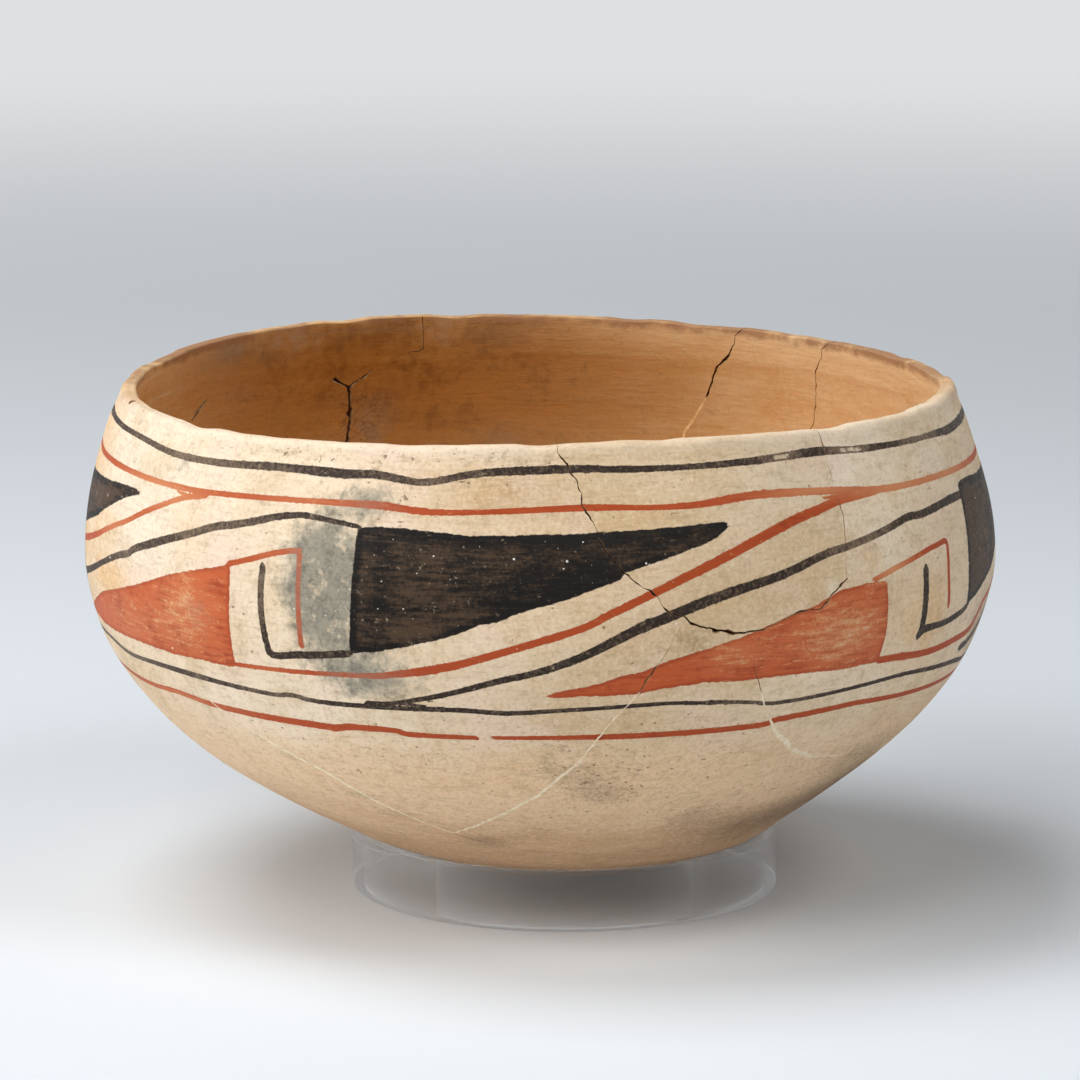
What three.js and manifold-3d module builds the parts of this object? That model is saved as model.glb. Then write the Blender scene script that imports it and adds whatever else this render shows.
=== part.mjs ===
// A painted pottery bowl, mended from its sherds, standing on a clear display ring.
// Millimetres, +Z up. The ring stands on z = 0.
// Azimuths are degrees round the bowl: 0 is the front (-Y) and 90 is the right (+X).
// A path on the wall is a list of [azimuth, height] points.

import * as THREE from "three";
import { mergeVertices } from "three/addons/utils/BufferGeometryUtils.js";
import Module from "manifold-3d";

const wasm = await Module();
wasm.setup();

// Display ring, cut from a clear tube of 4 1/2 inches outside diameter
const RING_OUTER_RADIUS = 57.15;
const RING_WALL = 3.2;
const RING_HEIGHT = 15.9;
const RING_CENTRE = [6.6, 4.0];
const RING_SEGMENTS = 96;
const MERGE_WITHIN = 1e-4;

// Mean outside of the bowl from the middle of the base to just under the lip, [radius, height]
const BODY_PROFILE = [
  [0, 9.0], [25, 10.0], [50, 14.7], [65.5, 23.4], [79.9, 32.8], [93.4, 43.0], [105.4, 54.9],
  [114.9, 68.8], [120.0, 84.9], [120.7, 97.0], [119.0, 110.1], [114.6, 125.0], [110.8, 134.5],
];
const LIP_PROFILE = [[110.3, 136.3], [109.3, 137.3], [107.7, 137.2], [106.2, 136.2]];
const WALL_AT_BASE = 7.5;
const WALL_AT_RIM = 5.6;
const WALL_THINS_TO = 60;

// The hand-built bowl isn't quite round: cosine and sine waves of 1, 2, 3... turns, in mm
const RIM_RADIUS_WAVES = [
  [-1.33, 0.79], [-0.22, -0.93], [0.51, -0.44], [-0.37, -0.41], [-0.06, -0.01], [0.55, 0.26],
];
const RIM_HEIGHT_WAVES = [[0.41, 0.48], [-0.81, -0.86], [0.2, 0.26], [0.01, 0.08]];
const RADIUS_WAVES_FROM = 85;
const HEIGHT_WAVES_FROM = 126;
const RIM_HEIGHT = 137.3;

// Below the belly the sections lean over towards the middle of the ring
const LEAN_FROM = 85;
const LEAN_POWER = 4;

// Joints between sherds
const JOINT_GAP = 0.3;
const FILLED_GAP = 1.5;
const FILL_WIDTH = 0.9;
const FILL_END_GAP = 0.5;
const JOINT_OVERRUN = 0.6;
const SWEEP_CENTRE = new THREE.Vector3(0, 0, 78);
const SWEEP_INNER = 0.84;
const SWEEP_OUTER = 1.06;
const ABOVE_RIM = 147;

const BOWL_SEGMENTS = 64;
const ROWS_PER_SPAN = 1.5;
const HALVINGS = 30;

// The corners where joints meet
const FRONT_FORK = [17.3, 96];
const FRONT_STEP = [27.3, 91.3];
const RIGHT_STEP = [39.6, 101.1];
const FRONT_APEX = [-18.8, 30.9];
const LEFT_FILL_END = [-49, 69];
const RIGHT_FILL_START = [28.2, 74];
const RIGHT_FILL_END = [50, 50];
const BACK_FILL_START = [155.2, 117];
const BACK_FILL_END = [163, 75];
const BACK_FORK = [208.6, 120.8];
const RIGHT_FOOT = [105, 27];
const BACK_RIGHT_FOOT = [144, 24];
const BACK_FOOT = [165, 24];
const BACK_LEFT_FOOT = [212, 26];

// Close joints, held by a thin film of adhesive
const CLOSE_JOINTS = [
  [
    [2.2, ABOVE_RIM], [2.2, 136], [4.8, 128.8], [5.6, 121.9], [7.7, 114], [10.6, 106.3], [14.5, 98.5],
    FRONT_FORK,
  ],
  [FRONT_FORK, [19.8, 92.9], [23.3, 91.1], FRONT_STEP],
  [FRONT_STEP, [30.9, 94.1], [35.3, 95.2], RIGHT_STEP],
  [RIGHT_STEP, [40.1, 109], [40.5, 117.3], [39.8, 124.8], [39.4, 136], [39.4, ABOVE_RIM]],
  [FRONT_FORK, [14.5, 86], [11.8, 76.9]],
  [LEFT_FILL_END, [-55, 79], [-62, 92], [-68, 105], [-73, 119], [-77, 136], [-77, ABOVE_RIM]],
  [FRONT_STEP, [26.7, 81], RIGHT_FILL_START],
  [RIGHT_FILL_END, [62, 46], [75, 40], [90, 33], RIGHT_FOOT],
  [
    [128.6, ABOVE_RIM], [128.6, 137], [133.4, 130.5], [135.6, 120], [137.9, 110],
    [140.5, 78], [143, 42], BACK_RIGHT_FOOT,
  ],
  [[146.8, ABOVE_RIM], [146.8, 137], [150.7, 130.5], [153.6, 123.5], BACK_FILL_START],
  [BACK_FILL_END, [165.5, 45], BACK_FOOT],
  [[197.8, ABOVE_RIM], [197.8, 137], [197.5, 133.5], [199.7, 130.5], [205.5, 124.8], BACK_FORK],
  [[210.3, ABOVE_RIM], [210.3, 127], BACK_FORK],
  [BACK_FORK, [207.9, 111], [208.4, 103.5], [211, 70], BACK_LEFT_FOOT],
];

// Open joints that a pale filler closes, one path for each fill
const FILLED_JOINTS = {
  front_joint_fill: [
    [11.8, 76.9], [8.5, 68.5], [5, 57.5], [-0.8, 46.8], [-6.9, 39.5], [-13.1, 34.5], FRONT_APEX,
    [-23.8, 36], [-28, 42], [-33, 50.5], [-40, 57.5], [-46.2, 65], LEFT_FILL_END,
  ],
  right_joint_fill: [
    RIGHT_FILL_START, [29.2, 69.5], [32.3, 62], [36.9, 56], [42.3, 51.8], RIGHT_FILL_END,
  ],
  back_joint_fill: [BACK_FILL_START, [158.8, 106], [161, 92], BACK_FILL_END],
};

// The joint round the base, a closed loop
const BASE_JOINT = [
  FRONT_APEX, [-13.8, 27.5], [-4, 24.5], [10, 22.5], [26, 23.5], [44, 22], [62, 24], [84, 24],
  RIGHT_FOOT, [124, 24.5], BACK_RIGHT_FOOT, BACK_FOOT, [188, 23], BACK_LEFT_FOOT, [232, 24],
  [252, 22.5], [276, 25], [300, 23], [322, 26], [341.2, 30.9],
];

// A point well inside each sherd
const SHERD_MIDDLES = {
  front_rim_sherd: [22, 115],
  front_left_sherd: [-30, 100],
  front_lower_sherd: [20, 50],
  right_sherd: [80, 85],
  back_right_sherd: [151, 90],
  back_sherd: [185, 85],
  back_rim_sherd: [204, 131],
  back_left_sherd: [250, 80],
  base_sherd: [0, 10],
};

const SLIPPED_CLAY = new THREE.MeshStandardMaterial({ color: 0xd9c09a, roughness: 0.6, metalness: 0 });
const BARE_CLAY = new THREE.MeshStandardMaterial({ color: 0xbe9673, roughness: 0.7, metalness: 0 });
const PALE_FILLER = new THREE.MeshStandardMaterial({ color: 0xe6dcc6, roughness: 0.9, metalness: 0 });
const CLEAR_ACRYLIC = new THREE.MeshStandardMaterial({
  color: 0xf2f4f4,
  roughness: 0.05,
  metalness: 0,
  transparent: true,
  opacity: 0.25,
});

// Smooth curve through the profile points; the point before the first mirrors the second
function profileAt(position) {
  const last = BODY_PROFILE.length - 1;
  const span = Math.min(Math.floor(position), last - 1);
  const t = position - span;
  const knot = (index) => {
    if (index < 0) return [-BODY_PROFILE[1][0], BODY_PROFILE[1][1]];
    return BODY_PROFILE[Math.min(index, last)];
  };
  const blend = (axis) => {
    const [before, start, end, after] = [-1, 0, 1, 2].map((step) => knot(span + step)[axis]);
    const leave = (end - before) / 2;
    const arrive = (after - start) / 2;
    const cubic = 2 * start - 2 * end + leave + arrive;
    const square = 3 * end - 3 * start - 2 * leave - arrive;
    return ((cubic * t + square) * t + leave) * t + start;
  };
  return new THREE.Vector2(blend(0), blend(1));
}

// The same curve moved in by the thickness of the wall
function innerProfileAt(position) {
  const step = 0.01;
  const last = BODY_PROFILE.length - 1;
  const here = profileAt(position);
  const ahead = profileAt(Math.min(position + step, last));
  const behind = profileAt(Math.max(position - step, 0));
  const along = ahead.sub(behind).normalize();
  const thinning = THREE.MathUtils.smoothstep(here.y, BODY_PROFILE[0][1], WALL_THINS_TO);
  const wall = THREE.MathUtils.lerp(WALL_AT_BASE, WALL_AT_RIM, thinning);
  return new THREE.Vector2(Math.max(here.x - along.y * wall, 0), here.y + along.x * wall);
}

function outerSectionAt(height) {
  let low = 0;
  let high = BODY_PROFILE.length - 1;
  for (let halving = 0; halving < HALVINGS; halving += 1) {
    const middle = (low + high) / 2;
    if (profileAt(middle).y < height) low = middle;
    else high = middle;
  }
  return new THREE.Vector2(profileAt(low).x, height);
}

function wave(waves, angle) {
  return waves.reduce((sum, [cosine, sine], index) => {
    const turns = (index + 1) * angle;
    return sum + cosine * Math.cos(turns) + sine * Math.sin(turns);
  }, 0);
}

function radiusAndLean(section, angle) {
  const { smoothstep } = THREE.MathUtils;
  const bulge = smoothstep(section.y, RADIUS_WAVES_FROM, RIM_HEIGHT) * wave(RIM_RADIUS_WAVES, angle);
  const drop = (LEAN_FROM - Math.max(section.y, RING_HEIGHT)) / (LEAN_FROM - RING_HEIGHT);
  return [section.x + bulge, Math.max(drop, 0) ** LEAN_POWER];
}

// Where a point of the mean section lies on the hand-built wall
function wallPoint(section, azimuth, liftsWithRim = true) {
  const angle = THREE.MathUtils.degToRad(azimuth - 90);
  const [radius, lean] = radiusAndLean(section, angle);
  const nearRim = THREE.MathUtils.smoothstep(section.y, HEIGHT_WAVES_FROM, RIM_HEIGHT);
  const lift = nearRim * wave(RIM_HEIGHT_WAVES, angle);
  return new THREE.Vector3(
    RING_CENTRE[0] * lean + radius * Math.cos(angle),
    RING_CENTRE[1] * lean + radius * Math.sin(angle),
    section.y + (liftsWithRim ? lift : 0),
  );
}

function solidOf(positions, indices) {
  const vertProperties = new Float32Array(positions.flatMap((point) => point.toArray()));
  const triVerts = new Uint32Array(indices);
  return new wasm.Manifold(new wasm.Mesh({ numProp: 3, vertProperties, triVerts }));
}

// The whole unbroken wall: outside, over the lip, and back down the inside
function wholeBowl() {
  const spans = BODY_PROFILE.length - 1;
  const rowCount = Math.round(spans * ROWS_PER_SPAN);
  const places = Array.from({ length: rowCount }, (_, row) => ((row + 1) / rowCount) * spans);
  const sections = [
    ...places.map(profileAt),
    ...LIP_PROFILE.map(([radius, height]) => new THREE.Vector2(radius, height)),
    ...places.map(innerProfileAt).reverse(),
  ];
  const positions = sections.flatMap((section) =>
    Array.from({ length: BOWL_SEGMENTS }, (_, turn) => wallPoint(section, (turn * 360) / BOWL_SEGMENTS)),
  );
  const outerPole = positions.push(wallPoint(profileAt(0), 0)) - 1;
  const innerPole = positions.push(wallPoint(innerProfileAt(0), 0)) - 1;
  const lastRow = (sections.length - 1) * BOWL_SEGMENTS;
  const indices = [];
  for (let turn = 0; turn < BOWL_SEGMENTS; turn += 1) {
    const next = (turn + 1) % BOWL_SEGMENTS;
    indices.push(outerPole, next, turn);
    indices.push(innerPole, lastRow + turn, lastRow + next);
    for (let row = 0; row < sections.length - 1; row += 1) {
      const low = row * BOWL_SEGMENTS;
      const high = low + BOWL_SEGMENTS;
      indices.push(low + turn, low + next, high + next);
      indices.push(low + turn, high + next, high + turn);
    }
  }
  return solidOf(positions, indices);
}

// The corners of a sheet's section: which side of the path, and how far out from the middle
const SHEET_CORNERS = [[-1, SWEEP_INNER], [1, SWEEP_INNER], [1, SWEEP_OUTER], [-1, SWEEP_OUTER]];

// A thin upright sheet through the wall along a path, swept from the middle of the bowl
function sheetAlong(path, width, closed = false) {
  const onWall = path.map(([azimuth, height]) => wallPoint(outerSectionAt(height), azimuth, false));
  const count = onWall.length;
  const positions = [];
  onWall.forEach((point, index) => {
    const before = onWall[closed ? (index + count - 1) % count : Math.max(index - 1, 0)];
    const after = onWall[closed ? (index + 1) % count : Math.min(index + 1, count - 1)];
    const outward = point.clone().sub(SWEEP_CENTRE);
    const along = after.clone().sub(before).normalize();
    const side = along.cross(outward).normalize().multiplyScalar(width / 2);
    for (const [sign, reach] of SHEET_CORNERS) {
      positions.push(SWEEP_CENTRE.clone().addScaledVector(outward, reach).addScaledVector(side, sign));
    }
  });
  const indices = [];
  for (let index = 0; index < (closed ? count : count - 1); index += 1) {
    const here = index * 4;
    const ahead = ((index + 1) % count) * 4;
    for (let corner = 0; corner < 4; corner += 1) {
      const turn = (corner + 1) % 4;
      indices.push(here + corner, ahead + turn, here + turn);
      indices.push(here + corner, ahead + corner, ahead + turn);
    }
  }
  if (!closed) {
    const end = (count - 1) * 4;
    indices.push(0, 1, 2, 0, 2, 3, end, end + 2, end + 1, end, end + 3, end + 2);
  }
  return solidOf(positions, indices);
}

// A path with both ends made longer by a distance in mm, or shorter where it is negative
function withLongerEnds(path, distance) {
  const onWall = ([azimuth, height]) => wallPoint(outerSectionAt(height), azimuth, false);
  const moved = (end, next) => {
    const share = distance / onWall(end).distanceTo(onWall(next));
    return end.map((value, axis) => value + (value - next[axis]) * share);
  };
  const last = path.length - 1;
  return [moved(path[0], path[1]), ...path.slice(1, last), moved(path[last], path[last - 1])];
}

function geometryOf(solid) {
  const mesh = solid.getMesh();
  const geometry = new THREE.BufferGeometry();
  geometry.setAttribute("position", new THREE.BufferAttribute(mesh.vertProperties, 3));
  geometry.setIndex(new THREE.BufferAttribute(mesh.triVerts, 1));
  return geometry;
}

function meshOf(name, geometry, material) {
  const mesh = new THREE.Mesh(geometry, material);
  mesh.name = name;
  return mesh;
}

// The sherds are what is left of the wall when every joint is cut out of it
function sherdMeshes(bowl) {
  const cuts = [
    ...CLOSE_JOINTS.map((path) => sheetAlong(withLongerEnds(path, JOINT_OVERRUN), JOINT_GAP)),
    ...Object.values(FILLED_JOINTS).map((path) => sheetAlong(path, FILLED_GAP)),
    sheetAlong(BASE_JOINT.slice(0, -1), JOINT_GAP, true),
  ];
  const pieces = cuts.reduce((left, cut) => left.subtract(cut), bowl).decompose();
  const places = pieces.map((piece) => geometryOf(piece));
  return Object.entries(SHERD_MIDDLES).map(([name, [azimuth, height]]) => {
    const middle = wallPoint(outerSectionAt(height), azimuth);
    const distances = places.map((geometry) => {
      const { array, count } = geometry.getAttribute("position");
      const gaps = Array.from({ length: count }, (_, index) =>
        middle.distanceTo(new THREE.Vector3().fromArray(array, index * 3)),
      );
      return Math.min(...gaps);
    });
    const nearest = distances.indexOf(Math.min(...distances));
    return meshOf(name, places[nearest], name === "base_sherd" ? BARE_CLAY : SLIPPED_CLAY);
  });
}

function fillMeshes(bowl) {
  return Object.entries(FILLED_JOINTS).map(([name, path]) => {
    const fill = sheetAlong(withLongerEnds(path, -FILL_END_GAP), FILL_WIDTH).intersect(bowl);
    return meshOf(name, geometryOf(fill), PALE_FILLER);
  });
}

function ringMesh() {
  const inner = RING_OUTER_RADIUS - RING_WALL;
  const outline = [
    new THREE.Vector2(inner, 0),
    new THREE.Vector2(RING_OUTER_RADIUS, 0),
    new THREE.Vector2(RING_OUTER_RADIUS, RING_HEIGHT),
    new THREE.Vector2(inner, RING_HEIGHT),
    new THREE.Vector2(inner, 0),
  ];
  const lathe = new THREE.LatheGeometry(outline, RING_SEGMENTS);
  lathe.deleteAttribute("normal");
  lathe.deleteAttribute("uv");
  const ring = meshOf("display_ring", mergeVertices(lathe, MERGE_WITHIN), CLEAR_ACRYLIC);
  ring.rotation.x = Math.PI / 2;
  ring.position.set(RING_CENTRE[0], RING_CENTRE[1], 0);
  return ring;
}

const bowl = wholeBowl();
const model = new THREE.Group();
model.add(...sherdMeshes(bowl), ...fillMeshes(bowl), ringMesh());

// The origin is under the middle of the whole object
model.updateMatrixWorld(true);
const middle = new THREE.Box3().setFromObject(model).getCenter(new THREE.Vector3());
model.position.set(-middle.x, -middle.y, 0);

export default model;
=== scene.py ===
# %% [markdown]
# # A painted bowl, mended from its sherds
# The object is a wide, round-bottomed bowl of low-fired clay, coated with a thin cream clay called slip,
# and painted with a slanting band in black and red. It was found broken and glued together again, and it
# stands on a slice of clear tube. The CAD model gives every piece its place and size. Here the same wall is
# made again at a spacing of about one millimetre, broken along the same joints, painted and lit.

# %% Load the fixed model
import math

import bmesh
import bpy
import numpy as np
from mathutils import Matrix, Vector


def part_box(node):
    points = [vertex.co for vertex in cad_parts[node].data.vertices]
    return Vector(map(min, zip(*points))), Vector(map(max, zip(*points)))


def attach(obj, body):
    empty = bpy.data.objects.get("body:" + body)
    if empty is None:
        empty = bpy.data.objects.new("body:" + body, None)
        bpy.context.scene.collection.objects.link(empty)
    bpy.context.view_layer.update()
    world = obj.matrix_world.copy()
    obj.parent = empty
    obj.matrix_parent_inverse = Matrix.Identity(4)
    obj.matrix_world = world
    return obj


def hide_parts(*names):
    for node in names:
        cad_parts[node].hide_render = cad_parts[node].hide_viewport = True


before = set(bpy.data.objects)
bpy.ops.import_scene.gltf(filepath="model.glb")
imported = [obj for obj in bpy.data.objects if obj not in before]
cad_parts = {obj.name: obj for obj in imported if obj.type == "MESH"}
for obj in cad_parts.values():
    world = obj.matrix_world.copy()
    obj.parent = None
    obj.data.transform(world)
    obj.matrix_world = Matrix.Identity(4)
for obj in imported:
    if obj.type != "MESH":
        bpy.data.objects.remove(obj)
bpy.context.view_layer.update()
MM = 0.001

# %% [markdown]
# ## The camera
# It stands about a metre and a half away, a little above the rim, with a long lens, so the wall of the bowl
# looks nearly flat-on. The bowl's own axis isn't quite the middle of the model's box, because the rim isn't
# round. The ring's box says where that axis is: the ring stands a few millimetres to its right and behind it.

# %% Place the camera
RING_CENTRE = np.array([6.6, 4.0])
CAMERA_BACK = 1466
CAMERA_HEIGHT = 370
CAMERA_DROOP = math.radians(10.67)
FOCAL_PIXELS = 5600
FRAME_PIXELS = 1080
SENSOR = 36

ring_low, ring_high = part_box("display_ring")
AXIS = np.array((ring_low + ring_high)[:2]) / 2 / MM - RING_CENTRE
RING_HEIGHT = ring_high.z / MM


def linked(made):
    """An object, now part of the scene."""
    bpy.context.scene.collection.objects.link(made)
    return made


camera = linked(bpy.data.objects.new("camera", bpy.data.cameras.new("camera")))
camera.data.sensor_width = SENSOR
camera.data.lens = FOCAL_PIXELS / FRAME_PIXELS * SENSOR
camera.location = Vector((AXIS[0], AXIS[1] - CAMERA_BACK, CAMERA_HEIGHT)) * MM
camera.rotation_euler = (math.pi / 2 - CAMERA_DROOP, 0, 0)
bpy.context.scene.camera = camera
print("bowl axis in mm:", AXIS.round(2), "ring height:", round(RING_HEIGHT, 2))

# %% [markdown]
# ## The wall as a formula
# A potter's section drawing is a curve of radius against height. Turning it round the axis gives a perfect
# bowl, and this one was built by hand, so three things are added: slow waves that push the rim in and out and
# up and down, a lean of the lower body towards the ring, and small uneven swellings.
# Azimuths are degrees: 0 is the front and 90 is the right. Everything is in millimetres until the mesh.

# %% Section of the wall
BODY_PROFILE = np.array([
    [0, 9.0], [25, 10.0], [50, 14.7], [65.5, 23.4], [79.9, 32.8], [93.4, 43.0], [105.4, 54.9],
    [114.9, 68.8], [120.0, 84.9], [120.7, 97.0], [119.0, 110.1], [114.6, 125.0], [110.8, 134.5],
])
LIP_PROFILE = np.array([[110.3, 136.3], [109.3, 137.3], [107.7, 137.2], [106.2, 136.2]])
WALL_AT_BASE = 7.5
WALL_AT_RIM = 5.6
WALL_THINS_TO = 60
RIM_HEIGHT = 137.3
CREST_RADIUS = 108.6
CURVE_STEPS = 60
LIP_STEPS = 12
# The lip's curve passes through these points of the outside and of the inside, counted from their upper ends
LIP_LEAVES = [-20, -8]
LIP_MEETS = [-40, -60]


def smoothstep(value, low, high):
    share = np.clip((value - low) / (high - low), 0, 1)
    return share * share * (3 - 2 * share)


def smooth_curve(knots, steps):
    """Points along a smooth curve that passes through every knot."""
    knots = np.asarray(knots, float)
    padded = np.vstack([2 * knots[0] - knots[1], knots, 2 * knots[-1] - knots[-2]])
    t = (np.arange(steps) / steps)[:, None]
    pieces = []
    for before, start, end, after in zip(padded, padded[1:], padded[2:], padded[3:]):
        leave, arrive = (end - before) / 2, (after - start) / 2
        cubic = 2 * start - 2 * end + leave + arrive
        square = 3 * end - 3 * start - 2 * leave - arrive
        pieces.append(((cubic * t + square) * t + leave) * t + start)
    return np.vstack(pieces + [knots[-1:]])


def unit(vectors):
    return vectors / np.linalg.norm(vectors, axis=1)[:, None]


def evenly_spaced(curve, spacing):
    lengths = np.append(0, np.cumsum(np.linalg.norm(np.diff(curve, axis=0), axis=1)))
    places = np.linspace(0, lengths[-1], max(int(round(lengths[-1] / spacing)), 1) + 1)
    return np.column_stack([np.interp(places, lengths, curve[:, axis]) for axis in (0, 1)])


mirrored = np.vstack([[-BODY_PROFILE[1, 0], BODY_PROFILE[1, 1]], BODY_PROFILE])
OUTSIDE = smooth_curve(mirrored, CURVE_STEPS)[CURVE_STEPS:]
along = unit(np.gradient(OUTSIDE, axis=0))
thinned = smoothstep(OUTSIDE[:, 1], BODY_PROFILE[0, 1], WALL_THINS_TO)
WALL = WALL_AT_BASE + (WALL_AT_RIM - WALL_AT_BASE) * thinned
OUTWARD = np.column_stack([along[:, 1], -along[:, 0]])
INSIDE = OUTSIDE - OUTWARD * WALL[:, None]
lip_knots = np.vstack([OUTSIDE[LIP_LEAVES], LIP_PROFILE, INSIDE[LIP_MEETS]])
LIP = smooth_curve(lip_knots, LIP_STEPS)[LIP_STEPS:-LIP_STEPS]
print("wall from", round(WALL[0], 1), "mm at the base to", round(WALL[-1], 1), "mm at the rim")

# %% [markdown]
# The waves are cosines and sines of one, two, three turns round the rim. They fade out below the belly. The
# swellings are a handful of seeded sine waves, strongest on the belly and gone where the bowl meets the ring.

# %% Hand-built unevenness
# Each wave: its cosine's and its sine's height in mm, for one turn, two turns and so on
RIM_RADIUS_WAVES = [
    (-1.33, 0.79), (-0.22, -0.93), (0.51, -0.44), (-0.37, -0.41), (-0.06, -0.01), (0.55, 0.26),
]
RIM_HEIGHT_WAVES = [(0.41, 0.48), (-0.81, -0.86), (0.2, 0.26), (0.01, 0.08)]
RADIUS_WAVES_FROM = 85
HEIGHT_WAVES_FROM = 126
LEAN_FROM = 85
LEAN_POWER = 4
SWELLING = 0.3
SWELLING_WAVES = 14
SWELLING_RISES = 20, 45
CREST_DENT = 0.8
CREST_DENTS_FROM = 132
CREST_TURNS = 7, 12, 19, 26, 41
CREST_SEED = 12


def wave(waves, starts, height, angle):
    """A sum of waves round the bowl, which starts at one height and is whole at the rim."""
    total = sum(
        cosine * np.cos(turns * angle) + sine * np.sin(turns * angle)
        for turns, (cosine, sine) in enumerate(waves, 1)
    )
    return smoothstep(height, starts, RIM_HEIGHT) * total


def swelling(azimuth, height, seed):
    draw = np.random.default_rng(seed)
    total = np.zeros(np.broadcast(azimuth, height).shape)
    for _ in range(SWELLING_WAVES):
        turns, climb, phase = draw.integers(2, 15), draw.uniform(-0.12, 0.12), draw.uniform(0, 2 * math.pi)
        total += np.sin(np.radians(azimuth) * turns + height * climb + phase) / SWELLING_WAVES**0.5
    return SWELLING * total * smoothstep(height, *SWELLING_RISES)


def crest_dents(azimuth):
    """How far the crest is pressed down, in mm, never above its mean line."""
    draw = np.random.default_rng(CREST_SEED)
    angle = np.radians(azimuth)
    total = sum(np.sin(angle * turns + draw.uniform(0, 2 * math.pi)) for turns in CREST_TURNS)
    return CREST_DENT * np.maximum(total / len(CREST_TURNS) + 0.1, 0)


def lean(height):
    """How far the wall's middle has moved off the bowl's axis: at the ring it is over the ring's middle."""
    drop = (LEAN_FROM - np.maximum(height, RING_HEIGHT)) / (LEAN_FROM - RING_HEIGHT)
    return np.maximum(drop, 0)[..., None] ** LEAN_POWER * RING_CENTRE


def wall_points(radius, height, azimuth, seed=None):
    """Where points of the mean section lie on the hand-built wall, in mm."""
    radius, height, azimuth = np.broadcast_arrays(radius, height, azimuth)
    angle = np.radians(azimuth - 90)
    bulge = wave(RIM_RADIUS_WAVES, RADIUS_WAVES_FROM, height, angle)
    lift = wave(RIM_HEIGHT_WAVES, HEIGHT_WAVES_FROM, height, angle)
    if seed is not None:
        bulge = bulge + swelling(azimuth, height, seed)
        lift = lift - smoothstep(height, CREST_DENTS_FROM, RIM_HEIGHT) * crest_dents(azimuth)
    centre = lean(height) + AXIS
    flat = centre + (radius + bulge)[..., None] * np.stack([np.cos(angle), np.sin(angle)], -1)
    return np.concatenate([flat, (height + lift)[..., None]], -1)


print("the rim's crest in front, in mm:", wall_points(CREST_RADIUS, RIM_HEIGHT, 0).round(1).tolist())

# %% [markdown]
# ## The whole bowl, before it broke
# The section runs from the middle of the base up the outside, over the lip and down the inside. Each row of
# it is turned round the axis, and two fans close the poles. One closed skin with faces outwards is what the
# cutting tools need.

# %% Build the unbroken wall
COLUMNS = 720
OUTSIDE_SPACING = 1.0
LIP_SPACING = 0.7
INSIDE_SPACING = 1.5
OUTSIDE_SEED = 3
INSIDE_SEED = 8


def new_object(name, points, faces, material=None):
    mesh = bpy.data.meshes.new(name)
    mesh.from_pydata((np.asarray(points) * MM).tolist(), [], faces)
    if material:
        mesh.materials.append(material)
    return linked(bpy.data.objects.new(name, mesh))


def tube_faces(rows, columns, closed_rows=False):
    """Quads between rows of points, each row a closed loop."""
    row = np.arange(rows if closed_rows else rows - 1)[:, None]
    column = np.arange(columns)[None, :]
    after, turn = (row + 1) % rows, (column + 1) % columns
    corners = [row * columns + column, row * columns + turn, after * columns + turn, after * columns + column]
    return np.stack(np.broadcast_arrays(*corners), -1).reshape(-1, 4).tolist()


def whole_bowl(material):
    azimuth = np.arange(COLUMNS) * 360 / COLUMNS
    outside = evenly_spaced(OUTSIDE[:LIP_LEAVES[1]], OUTSIDE_SPACING)[1:]
    lip = evenly_spaced(LIP, LIP_SPACING)
    inside = evenly_spaced(INSIDE[:LIP_MEETS[0]], INSIDE_SPACING)[1:][::-1]
    rows = [wall_points(section[:, :1], section[:, 1:], azimuth, seed)
            for section, seed in ((outside, OUTSIDE_SEED), (lip[1:-1], OUTSIDE_SEED), (inside, INSIDE_SEED))]
    grid = np.vstack(rows)
    poles = wall_points(np.zeros(2), np.array([OUTSIDE[0, 1], INSIDE[0, 1]]), np.zeros(2))
    points = np.vstack([grid.reshape(-1, 3), poles])
    last = (len(grid) - 1) * COLUMNS
    below, above = len(points) - 2, len(points) - 1
    faces = tube_faces(len(grid), COLUMNS)
    for column in range(COLUMNS):
        turn = (column + 1) % COLUMNS
        faces.append([below, turn, column])
        faces.append([above, last + column, last + turn])
    return new_object("bowl", points, faces, material)


slipped_clay = bpy.data.materials.new("slipped_and_painted_clay")
broken_clay = bpy.data.materials.new("broken_clay")
bowl = whole_bowl(slipped_clay)
print("unbroken wall:", len(bowl.data.vertices), "points")

# %% [markdown]
# ## The joints
# Pottery breaks straight through its wall, so each joint is a thin sheet that follows a path on the outside
# and runs inwards square to the wall. An old break isn't a clean line: it wanders, and grains have fallen out
# of both edges, inside and outside, so the sheet flares at the two skins by a random amount.
# Where the mender pressed the sherds tightly together, the joint is only a hair.

# %% Paths of the joints
ABOVE_RIM = 147
FRONT_FORK, FRONT_STEP, RIGHT_STEP = (17.3, 96), (27.3, 91.3), (39.6, 101.1)
FRONT_APEX, LEFT_FILL_END = (-18.8, 30.9), (-49, 69)
RIGHT_FILL_START, RIGHT_FILL_END = (28.2, 74), (50, 50)
BACK_FILL_START, BACK_FILL_END = (155.2, 117), (163, 75)
BACK_FORK = (208.6, 120.8)
RIGHT_FOOT, BACK_RIGHT_FOOT, BACK_FOOT, BACK_LEFT_FOOT = (105, 27), (144, 24), (165, 24), (212, 26)

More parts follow.
